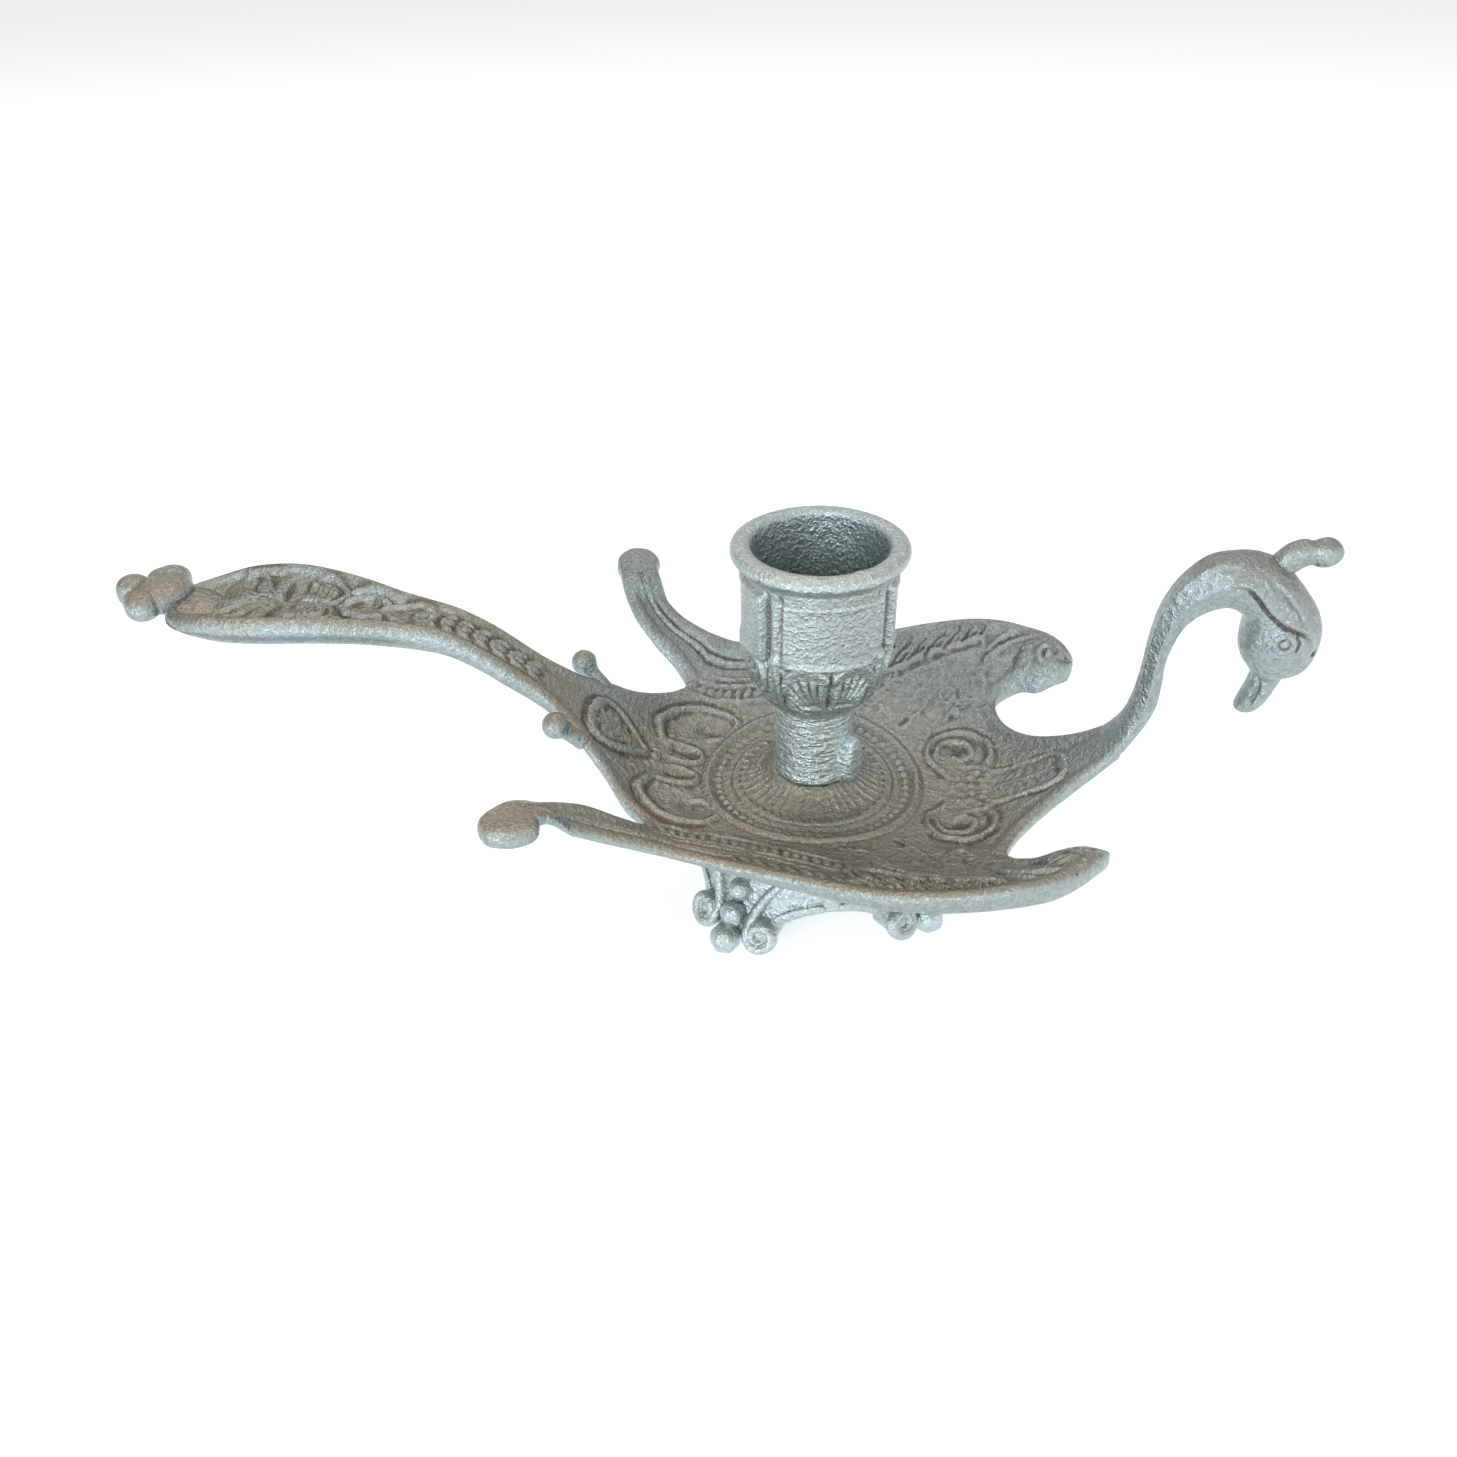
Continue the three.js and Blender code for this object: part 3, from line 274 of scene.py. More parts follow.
class Relief:
    """Height of ornament over a flat drawing, for many points at once. Ridges keep the highest value,
    grooves the lowest, and the two are added."""

    def __init__(self, points):
        self.points = points
        self.up = np.zeros(len(points))
        self.down = np.zeros(len(points))

    def near(self, line, reach):
        """Indices of points within reach of a line's box, their distance to it, share along it and side."""
        low, high = line.min(0) - reach, line.max(0) + reach
        inside = np.flatnonzero(((self.points > low) & (self.points < high)).all(1))
        p = self.points[inside]
        distance = np.full(len(p), 1e9)
        share = np.zeros(len(p))
        side = np.zeros(len(p))
        for k in range(len(line) - 1):
            a, d = line[k], line[k + 1] - line[k]
            t = np.clip(((p - a) @ d) / (d @ d), 0, 1)
            off = p - a - t[:, None] * d
            far = np.hypot(off[:, 0], off[:, 1])
            closer = far < distance
            distance[closer] = far[closer]
            share[closer] = ((k + t) / (len(line) - 1))[closer]
            side[closer] = (d[0] * off[:, 1] - d[1] * off[:, 0])[closer]
        keep = distance < reach
        return inside[keep], distance[keep], share[keep], np.sign(side[keep])

    def line(self, points):
        """Two points as they are, more as a fine smooth curve."""
        if len(points) == 2:
            return np.asarray(points, float)
        return evenly(points, 6 * (len(points) - 1))[0]

    def ridge(self, points, half_width, height, taper=0.15):
        """Rounded ridge along a line: height (1 - d^2)^1.5 over 1.3 half widths, lower at both ends."""
        half_width = 1.3 * half_width
        at, d, share, _ = self.near(self.line(points), half_width)
        fade = np.minimum(1, 0.25 + np.minimum(share, 1 - share) / max(taper, 1e-3))
        self.up[at] = np.maximum(self.up[at], height * fade * (1 - (d / half_width) ** 2) ** 1.5)

    def groove(self, points, half_width, depth, taper=0.15):
        """Rounded groove along a line, shallower at both ends."""
        at, d, share, _ = self.near(self.line(points), half_width)
        fade = np.minimum(1, np.minimum(share, 1 - share) / max(taper, 1e-3))
        self.down[at] = np.minimum(self.down[at], -depth * fade * (1 - (d / half_width) ** 2) ** 1.5)

    def bank(self, points, width, height, side=1, taper=0.2):
        """Overlapping edge: rises towards the line from one side over width, then falls off sharply."""
        at, d, share, where = self.near(self.line(points), width)
        fade = np.minimum(1, np.minimum(share, 1 - share) / taper)
        slope = np.where(where * side >= 0, (1 - d / width) ** 1.6, np.clip(1 - d / 0.3, 0, 1))
        self.up[at] = np.maximum(self.up[at], height * fade * slope)

    def knob(self, x, y, radius, height, stretch=1.0, turn=0.0):
        """Raised rounded knob, stretched along the direction turn."""
        d = self.points - [x, y]
        c, s = math.cos(turn), math.sin(turn)
        far = np.hypot((d[:, 0] * c + d[:, 1] * s) / stretch, d[:, 1] * c - d[:, 0] * s) / radius
        self.up = np.maximum(self.up, height * np.sqrt(np.clip(1 - far**2, 0, 1)))

    def hollow(self, x, y, radius, depth, stretch=1.0, turn=0.0):
        """Smooth hollow, stretched along the direction turn."""
        d = self.points - [x, y]
        c, s = math.cos(turn), math.sin(turn)
        far = np.hypot((d[:, 0] * c + d[:, 1] * s) / stretch, d[:, 1] * c - d[:, 0] * s) / radius
        self.down -= depth * np.clip(1 - far**2, 0, 1) ** 2

    def barbs(self, stem, length, spacing, angle, half_width, height, sides=(1, -1), start=0.08):
        """Short ridges that leave a stem line at an angle, like the barbs of a feather or veins of a leaf."""
        line, way = evenly(stem, 60)
        total = np.linalg.norm(np.diff(line, axis=0), axis=1).sum()
        for k in range(int(total * (1 - start) / spacing)):
            i = min(60, int(60 * (start + (k + 0.5) * spacing / total)))
            reach = length * (0.55 + 0.45 * math.sin(math.pi * (k + 1) * spacing / total))
            for side in sides:
                turn = math.atan2(way[i, 1], way[i, 0]) + side * angle
                tip = line[i] + reach * np.array([math.cos(turn), math.sin(turn)])
                bend = (line[i] + tip) / 2 - 0.12 * reach * way[i]
                self.ridge([line[i], bend, tip], half_width, height, 0.3)

    def value(self):
        """Height of the ornament at each point."""
        return self.up + self.down


def draw_dish(r):
    """Scrolls, bud, leaf sprays and beads of the swan's back on one half of the tray; y counts outwards."""
    # Rear scroll cell with its curl and the hairpin loop beside the axis
    cell = [
        (-27.6, 4.6), (-29.3, 7), (-29.7, 10), (-28.2, 13.4), (-24.8, 16), (-20.6, 16.8), (-17, 15.7),
        (-15.4, 13.2), (-16.2, 10.6), (-18.6, 9.2), (-21.2, 9.8),
    ]
    r.ridge(cell, 0.75, 0.62, 0.08)
    r.groove([(-30.6, 7), (-31, 10.4), (-29.4, 14.4), (-25.4, 17.4), (-20.6, 18.2), (-15.8, 17)], 0.6, 0.4)
    r.hollow(-20.4, 11.6, 3.6, 0.75, 1.25, 0.2)
    r.hollow(-25.5, 11, 4.5, 0.25, 1.2, 1.2)
    hairpin = [(-28.4, 6), (-25.4, 5.6), (-22.2, 5), (-20.5, 3.2), (-21.6, 1.6), (-24.6, 1.1), (-27.6, 1.5)]
    r.ridge(hairpin, 0.6, 0.6)
    r.groove([(-27, 3.6), (-24.4, 3.4), (-22, 3.1)], 0.9, 0.45)
    for k in range(4):
        r.ridge([(-27.4 + 1.7 * k, 6.9 + 0.15 * k), (-26.4 + 1.7 * k, 7.9)], 0.4, 0.25)
    # Bud on the axis behind the cells
    r.ridge([(-30.2, 0.2), (-32.4, 2.2), (-35.4, 4.5), (-38, 4.7), (-39.6, 2.7), (-39.9, 0)], 0.65, 0.7, 0.03)
    r.groove([(-32.6, 3.9), (-35.8, 6), (-38.8, 6), (-40.9, 3.2), (-41, 0)], 0.6, 0.45, 0.05)
    r.ridge([(-39.2, 0), (-30.4, 0)], 0.6, 0.45)
    for k in range(5):
        x = -31.8 - 1.45 * k
        r.ridge([(x, 0.2), (x - 1.2, 1.3), (x - 1.5, 2.2 + 0.25 * k)], 0.45, 0.4)
    grains = ((-28.7, 0, 0.9), (-28.9, 1.7, 0.65), (-29.8, 3, 0.5), (-31.6, 5.6, 0.5), (-33.4, 7, 0.45))
    for x, y, size in grains:
        r.knob(x, y, size, 0.45)
    r.ridge([(-31.6, 9.2), (-34.4, 8), (-37.4, 7.6)], 0.45, 0.25)
    # Front scrolls, the tongue leaf on the axis and the knots between them
    outer = [
        (21.6, 6.4), (20.6, 9.6), (21.8, 13), (25, 15.2), (28.8, 14.8), (31.4, 12.4), (32.2, 9), (31.2, 6),
    ]
    r.ridge(outer, 0.7, 0.6, 0.08)
    r.groove([(20.2, 12.6), (22.4, 15.4), (26.4, 16.4), (30.4, 15), (32.8, 11.6)], 0.55, 0.35)
    inner = [
        (22.4, 8.8), (22.8, 11.6), (25.2, 13.2), (28, 12.4), (29, 10), (27.6, 8.2), (25.6, 8.6),
        (25.4, 10.2),
    ]
    r.ridge(inner, 0.55, 0.5)
    r.hollow(26, 11, 2.2, 0.55, 1.4, 0.1)
    r.groove([(19.9, 11), (21, 6.8), (24.4, 2.8)], 0.5, 0.4)
    r.ridge([(20.8, 10.6), (22, 7), (25.2, 3.2)], 0.45, 0.3)
    r.ridge([(31.6, 4.6), (34.4, 3.9), (38, 4.1), (41.4, 3.8), (43.4, 2.4), (43.8, 0)], 0.5, 0.42, 0.03)
    r.groove([(31.6, 5.6), (36, 4.9), (41.6, 4.8), (44.5, 2.8), (44.8, 0)], 0.45, 0.25, 0.03)
    r.ridge([(32.4, 0), (42, 0)], 0.5, 0.3)
    for k in range(5):
        x = 33.6 + 1.7 * k
        r.ridge([(x, 0.3), (x + 1.1, 1.4), (x + 1.5, 2.7)], 0.4, 0.25)
    knots = (
        (30.8, 5.6, 0.75), (31.4, 4, 0.7), (29.6, 4.6, 0.65), (28.4, 3.2, 0.7), (30.2, 2.4, 0.7),
        (28.6, 1, 0.8), (30.8, 0.8, 0.7), (26.4, 3.4, 0.55), (26.8, 1.6, 0.6), (25.2, 0.6, 0.5),
    )
    for x, y, size in knots:
        r.knob(x, y, size, 0.45)
    r.ridge([(26, 6.6), (29.4, 6.3), (32.6, 5.2)], 0.45, 0.3)
    r.ridge([(35.2, 9.2), (37, 7.4), (39.8, 6.2)], 0.4, 0.2)


def draw_wing(r):
    """Bead band, feathers, leaf sprays and the curled lobe of one wing."""
    # Rope of slanted beads between two fine lines along the inner side
    band = [(-31, 22.4), (-22, 21.4), (-14, 22.2), (-6, 24.2), (2, 26.8), (8, 28.8)]
    for shift, height in ((-1.7, 0.4), (1.7, 0.35)):
        r.ridge([(x, y + shift) for x, y in band], 0.42, height)
    line, way = evenly(band, 22)
    for (x, y), (dx, dy) in zip(line[1:], way[1:]):
        r.knob(x, y, 0.62, 0.42, 1.7, math.atan2(dy, dx) + 1.0)
    r.ridge([(-22, 24.6), (-12, 25.6), (-4, 28), (4, 31)], 0.4, 0.28)
    # Long shafts of the wing and the scroll of the lobe: half width, height, line
    shafts = (
        (0.8, 0.75, [
            (10, 28.2), (14.5, 30.4), (18.5, 32.6), (22.5, 33.8), (26.5, 34.4), (29.4, 35), (31, 36.2),
        ]),
        (0.6, 0.55, [
            (30.6, 33.2), (30.9, 35.8), (32.4, 37.8), (35.2, 38.4), (38.4, 37.6), (41.6, 35.6), (44, 32.6),
        ]),
        (0.55, 0.5, [(31.6, 32), (33.4, 34.2), (36.4, 35.4), (39.6, 35.4), (42.6, 34)]),
        (0.55, 0.5, [
            (30.6, 29.6), (33, 32), (36, 33.3), (39.4, 33.6), (42.6, 32.6), (44.9, 30.4), (45.2, 28.2),
            (43.8, 26.9), (42, 26.9), (40.9, 28.2), (41.4, 29.6), (42.8, 29.9), (43.6, 28.9),
        ]),
        (0.4, 0.3, [(12.6, 26.4), (17.5, 29.2), (22, 31.2), (26.6, 32.4), (30, 33)]),
    )
    for half_width, height, line in shafts:
        r.ridge(line, half_width, height, 0.1)
    r.groove([(10.4, 29.6), (14.4, 31.8), (18.4, 34), (22.4, 35)], 0.6, 0.55, 0.1)
    r.groove([(29.6, 29.8), (32.2, 32.6), (35.6, 34.4), (39.6, 34.7)], 0.45, 0.4)
    # Feathers that fan from the shaft to the rim
    for k in range(7):
        x, y = 8.4 + 3.5 * k, 27.9 + 1.25 * k - 0.02 * k * k
        reach = 1 - 0.06 * k
        quill = [(x, y + 0.8), (x + 2 * reach, y + 4.6 * reach), (x + 5.4 * reach, y + 8.2 * reach)]
        r.bank(quill, 2.1, 1.15, -1)
        r.groove([(px + 0.5, py - 0.2) for px, py in quill], 0.5, 0.95)
        edge = [(px - 1.2, py + 0.5) for px, py in quill[:2]] + [(quill[2][0] - 1.6, quill[2][1] - 0.2)]
        r.ridge(edge, 0.4, 0.6)
    for k in range(9):
        x, y = -12 + 2.5 * k, 28 + 0.62 * k
        r.ridge([(x, y), (x + 1.7, y + 2), (x + 2.2, y + 4)], 0.45, 0.3)
    # Fine strokes below the shafts and two small rings near the front notch
    for k in range(12):
        x, y = 15.5 + 1.45 * k, 20.6 + 0.55 * k + 1.1 * (k % 3)
        r.ridge([(x, y), (x + 2.2, y + 3), (x + 3.6, y + 5.6 - 0.2 * k)], 0.35, 0.24)
    for x, y, size in ((24.4, 24, 1.7), (28.2, 26.2, 1.5)):
        turn = np.linspace(0, 2 * math.pi, 13)
        r.ridge([(x + size * 0.75 * math.cos(a), y + size * math.sin(a)) for a in turn], 0.35, 0.3, 0.001)
    r.knob(26, 20.4, 1.15, 0.7)
    r.ridge([(29.6, 22), (31.4, 25), (30.8, 28.4)], 0.5, 0.3)
    r.groove([(15.2, 16.9), (17, 18.9)], 0.5, 0.55)
    r.ridge([(17.2, 17.6), (19.4, 20.8), (21, 23)], 0.4, 0.35)
    # Leaf sprays between the ring and the wing
    for stem in ([(4.4, 17.6), (8, 21.4), (11.4, 25), (15, 28.2)], [(24, 18.6), (26.6, 22.6), (30.2, 26)]):
        r.ridge(stem, 0.45, 0.42)
        r.barbs(stem, 3.1, 1.35, 0.75, 0.36, 0.32)
    r.knob(42.9, 28.4, 0.7, 0.4)
    r.hollow(36.4, 29.4, 1.8, 0.4, 2.2, 0.7)
    for k in range(7):
        turn = 2.2 + 0.32 * k
        c, s = math.cos(turn), math.sin(turn)
        r.ridge([(42.6 + 3.2 * c, 28.6 + 3 * s), (42.2 + 5.2 * c, 28.4 + 4.6 * s)], 0.4, 0.25)


def draw_handle(r):
    """Palmette, ribbed leaf, scrolls and leaf chain of the handle."""
    # Petals of the palmette: direction, length, half width
    heart_x = -95.5
    petals = (
        (2.75, 11.5, 1.25), (2.25, 8.8, 1.2), (1.72, 7.6, 1.15), (-2.75, 11, 1.2), (-2.25, 8.6, 1.2),
        (-1.72, 7.4, 1.1), (math.pi, 13.4, 1.3),
    )
    for turn, length, half_width in petals:
        c, s = math.cos(turn), math.sin(turn)
        bend = 0.14 * length * (1 if s >= 0 else -1) * (abs(s) > 0.05)
        middle = (heart_x + 0.5 * length * c - bend * s * 0.4, 0.5 * length * s + bend * c * 0.6)
        line = [(heart_x, 0), middle, (heart_x + length * c, length * s)]
        r.ridge(line, half_width, 0.75, 0.3)
        r.groove(line, 0.32, 0.45, 0.25)
        side = [(x - s * 1.25, y + c * 1.25) for x, y in line[1:]]
        r.ridge([line[0], *side], 0.4, 0.45, 0.3)
    for y in (-1, 1):
        curl = [(-99, 1.2 * y), (-99.6, 4.2 * y), (-100.6, 7 * y), (-103.4, 8.4 * y), (-105.2, 6.8 * y)]
        r.ridge(curl, 0.6, 0.6)
        for x in (-98.2, -99.9, -101.6):
            r.knob(x, y * 8.7, 0.75, 0.6, 1.3, 0.4)
        # Ribbed leaf across the handle
        for k in range(6):
            x = -91.6 + 0.95 * k
            r.ridge([(x, 0.3 * y), (x + 0.9, 3 * y), (x + 0.2, (6.6 - 0.5 * k) * y)], 0.5, 0.75)
        r.ridge([(-86.6, 0), (-84.4, 2.6 * y), (-85, 5.2 * y), (-88, 7.2 * y), (-91, 7.8 * y)], 0.55, 0.5)
        # Scrolls and acanthus towards the neck of the handle
        r.ridge([(-84, 0.6 * y), (-80.6, 2.8 * y), (-77, 2.8 * y), (-74.6, 1.2 * y)], 0.9, 0.7)
        r.ridge([(-84.2, 4.8 * y), (-80, 5.6 * y), (-76.4, 4.6 * y), (-73.6, 3.6 * y)], 0.6, 0.5)
        r.groove([(-82.8, 3.9 * y), (-79.4, 4.3 * y), (-76, 3.8 * y)], 0.5, 0.5)
        r.ridge([(-76.6, 0.4 * y), (-72.4, 2.6 * y), (-69.6, 3.4 * y), (-67.2, 2.4 * y)], 0.75, 0.65)
        r.ridge([(-74, 5 * y), (-71, 5.1 * y), (-68.4, 4.6 * y)], 0.5, 0.4)
        for k in range(3):
            r.ridge([(-70.4 + 1.2 * k, 0.2 * y), (-69 + 1.2 * k, 1.8 * y)], 0.42, 0.4)
        # Leaf chain down the slope
        for k in range(6):
            x = -65.6 + 2.9 * k
            r.ridge([(x, 0), (x + 1, 1.5 * y), (x + 2.5, 1.7 * y)], 0.6, 0.5)
            r.ridge([(x + 0.2, 3.2 * y), (x + 2, 3.7 * y)], 0.42, 0.28)
    for k in range(6):
        r.knob(-64.2 + 2.9 * k, 0, 0.8, 0.5, 1.2)
    r.hollow(-107.5, 0, 5, 0.5, 1.1)


# The tray

RIM_WIDTH = 3.4
# Stations along the edge: body, each side of a horn, wing top, each side of a lobe, breast and seam.
REAR_COUNT, HORN_COUNT, WING_COUNT, LOBE_COUNT, BREAST_COUNT, SEAM_COUNT = 230, 58, 160, 46, 64, 160
# Points across the upper body and wing, and across the underside.
BODY_COLUMNS, WING_COLUMNS, UNDER_COLUMNS = 42, 30, 5
# Level at which upper and lower skin meet, and how much the handle's rim is rounded there.
RIM_BORDER = -1.1
HANDLE_ROUNDING = 0.9
# Extra thickness under the handle and extra height of the plate on a horn's end.
HANDLE_DEPTH, HORN_LIFT = 0.8, 0.5
# Distance from a notch over which the lines across the plate straighten.
SEAM_REACH = 13.0
# Stations on the middle line run ahead of the edge's towards the rear notch, from x = AXIS_FROM on, by
# AXIS_AHEAD at the notch. Those of the seam end at SEAM_END.
AXIS_FROM, AXIS_AHEAD, SEAM_END = -48.0, 4.8, 22.0
# The dish's centre is a piece of its own. There the plate sinks and its ornament fades, between these radii.
CENTRE_SINK, SINK_RADII, FADE_RADII = 0.8, (19.2, 20.4), (19.6, 20.6)
# How unsteady the drawing of the ornament is.
UNSTEADY_REACH = 0.28
# Rows of the rim: distance in from the edge, height over the upper face, share of the handle's higher rim,
# share of the lobe's thicker underside.
RIM_ABOVE = np.array([
    (0, RIM_BORDER, 0.3, 0.5), (0.05, -0.74, 0.6, 0.2), (0.16, -0.34, 0.9, 0.05), (0.36, 0, 1, 0),
    (0.68, 0.32, 1, 0), (1.1, 0.54, 1, 0), (1.6, 0.6, 1, 0), (2.1, 0.5, 0.85, 0), (2.55, 0.2, 0.5, 0),
    (2.95, -0.06, 0.2, 0), (RIM_WIDTH, 0, 0, 0),
])
RIM_BELOW = np.array([
    (0, RIM_BORDER, 0.3, 0.5), (0.06, -1.6, 0.1, 0.75), (0.25, -2.2, 0, 0.95), (0.6, -2.6, 0, 1),
    (1.1, -2.8, 0, 1), (1.9, -2.72, 0, 1), (2.8, -2.4, 0, 0.95), (RIM_WIDTH, -2.2, 0, 0.85),
])


def stretch(points, start, end, count):
    """Edge stations between two knots: place, inward unit normal (the curve's own right-hand side), how far
    lines bend towards that normal (fully), and flag 1 for a rim."""
    place, way = evenly(points, count, start, end)
    way = way * np.sign(end - start)
    return place, np.stack([way[:, 1], -way[:, 0]], -1), np.ones(count + 1), np.ones(count + 1)


def seam_stations(place, first_normal, last_normal):
    """Stations without a rim between the notches. Lines bend as at the nearer notch, less and less away
    from it, so that they never cross."""
    from_first = np.linalg.norm(place - place[0], axis=1)
    from_last = np.linalg.norm(place - place[-1], axis=1)
    nearer = (from_first < from_last)[:, None]
    normal = np.where(nearer, first_normal, last_normal)
    pull = 1 - ease(np.minimum(from_first, from_last), 0, SEAM_REACH)
    return place, normal, pull, np.zeros(len(place))


def joined_rows(*stretches):
    """Stations of several stretches, one after the other."""
    return tuple(np.concatenate(part) for part in zip(*stretches))


def cut(stations, start, end):
    """Stations without those before start and from end on."""
    return tuple(part[start:end] for part in stations)


def handle_share(x):
    """0 on the body, 1 on the spoon of the handle."""
    return ease(-x, 50, 76)


def lobe_share(x, y):
    """Share of the lobe's thicker rim at a place of the wing's outer part."""
    return through(RIM_DEPTH, x) * ease(np.abs(y), 23, 29)


def across(near, far, rows, middle, from_axis):
    """Lines across the plate from stations near to stations far. Each end has the rim's rows, set in along
    the mean of the line and the edge's normal; between them the points are evenly spaced. Gives plan places,
    heights over the plate and the weight of the ornament, all as grids of lines by columns."""
    (a, a_in, a_pull, a_edge), (b, b_in, b_pull, b_edge) = near, far
    along = b - a
    length = np.linalg.norm(along, axis=1)
    along = along / np.maximum(length, 1e-9)[:, None]
    scale = np.minimum(1, (0.8 if from_axis else 0.44) * length / RIM_WIDTH)

    def inset(point, inward, pull, toward):
        """Points of the rim's rows, from the edge towards the other end of the line."""
        way = toward + inward
        way = way / np.maximum(np.linalg.norm(way, axis=1), 1e-9)[:, None]
        reach = 1 / np.maximum(0.5, (way * inward).sum(1))
        step = way * (reach * pull)[:, None] + toward * (1 - pull)[:, None]
        return point[:, None] + (step * scale[:, None])[:, None] * rows[None, :, :1]

    from_b = inset(b, b_in, b_pull, -along)[:, ::-1]
    start = a if from_axis else inset(a, a_in, a_pull, along)[:, -1]
    share = np.linspace(0, 1, middle + 1)[None, 0 if from_axis else 1 : -1, None]
    between = start[:, None] * (1 - share) + from_b[:, :1] * share
    level = rows[-1]
    tip = length < 1e-6

    def rim_values(edge, flip):
        """Values of the rim's rows, or those of the flat plate where the station has no rim."""
        values = np.where(edge[:, None, None] > 0, rows[None], level[None, None])
        values = np.where(tip[:, None, None], rows[0][None, None], values)
        return values[:, ::-1] if flip else values

    flat = np.broadcast_to(level, (len(a), between.shape[1], 4))
    parts = [between, from_b]
    values = [flat, rim_values(b_edge, True)]
    if not from_axis:
        parts.insert(0, inset(a, a_in, a_pull, along))
        values.insert(0, rim_values(a_edge, False))
    values = np.concatenate(values, axis=1)
    plan = np.concatenate(parts, axis=1)
    inner = ease(rows[:, 0], 2.1, RIM_WIDTH)
    weight = [np.ones((len(a), between.shape[1])), np.where(b_edge[:, None] > 0, inner[::-1], 1)]
    if not from_axis:
        weight.insert(0, np.where(a_edge[:, None] > 0, inner, 1))
    return plan, values, np.concatenate(weight, axis=1)


def raised_plate(plan, values, rim_extra, lobe_extra):
    """Heights of a grid of plan places: plate and rim row. The rim is higher and rounder on the handle, the
    lobe thicker below, and the handle thins out at the tail."""
    x, y = plan[..., 0], plan[..., 1]
    notches = [BODY_AND_HORN_EDGE[REAR_NOTCH], LOBE_AND_BREAST_EDGE[FRONT_NOTCH]]
    gap = np.min([np.hypot(x - nx, y - ny) for nx, ny in notches], axis=0)
    level = values[..., 1]
    above, end = level > RIM_BORDER, horn_share(x, y)
    lift = np.where(level > 0, level * ease(gap, 0, 4) * (1 - end), level)
    lift = lift + np.where(above, HORN_LIFT * end, 0)
    tail = ease(-x, 100, 115)
    raised = rim_extra * values[..., 2] * handle_share(x) * (1 - 0.6 * tail)
    rounded = HANDLE_ROUNDING * handle_share(x) * (1 - ease(values[..., 0], 0, 1.9)) * (level >= RIM_BORDER)
    under_handle = HANDLE_DEPTH * ease(-x, 38, 50) * (np.abs(y) < 20) * (1 - 2 * tail)
    deeper = lobe_extra * lobe_share(x, y) + under_handle
    return plate_height(x, y) + lift + raised - rounded - deeper * values[..., 3]


def dents(height, reach):
    """How far each point of a grid lies below the mean of its neighbours within reach."""
    mean = height
    for axis in (0, 1):
        around = [(reach, reach) if k == axis else (0, 0) for k in (0, 1)]
        padded = np.pad(mean, around, mode="edge")
        size = mean.shape[axis]
        mean = sum(np.take(padded, np.arange(k, k + size), axis=axis) for k in range(2 * reach + 1))
        mean = mean / (2 * reach + 1)
    return mean - height


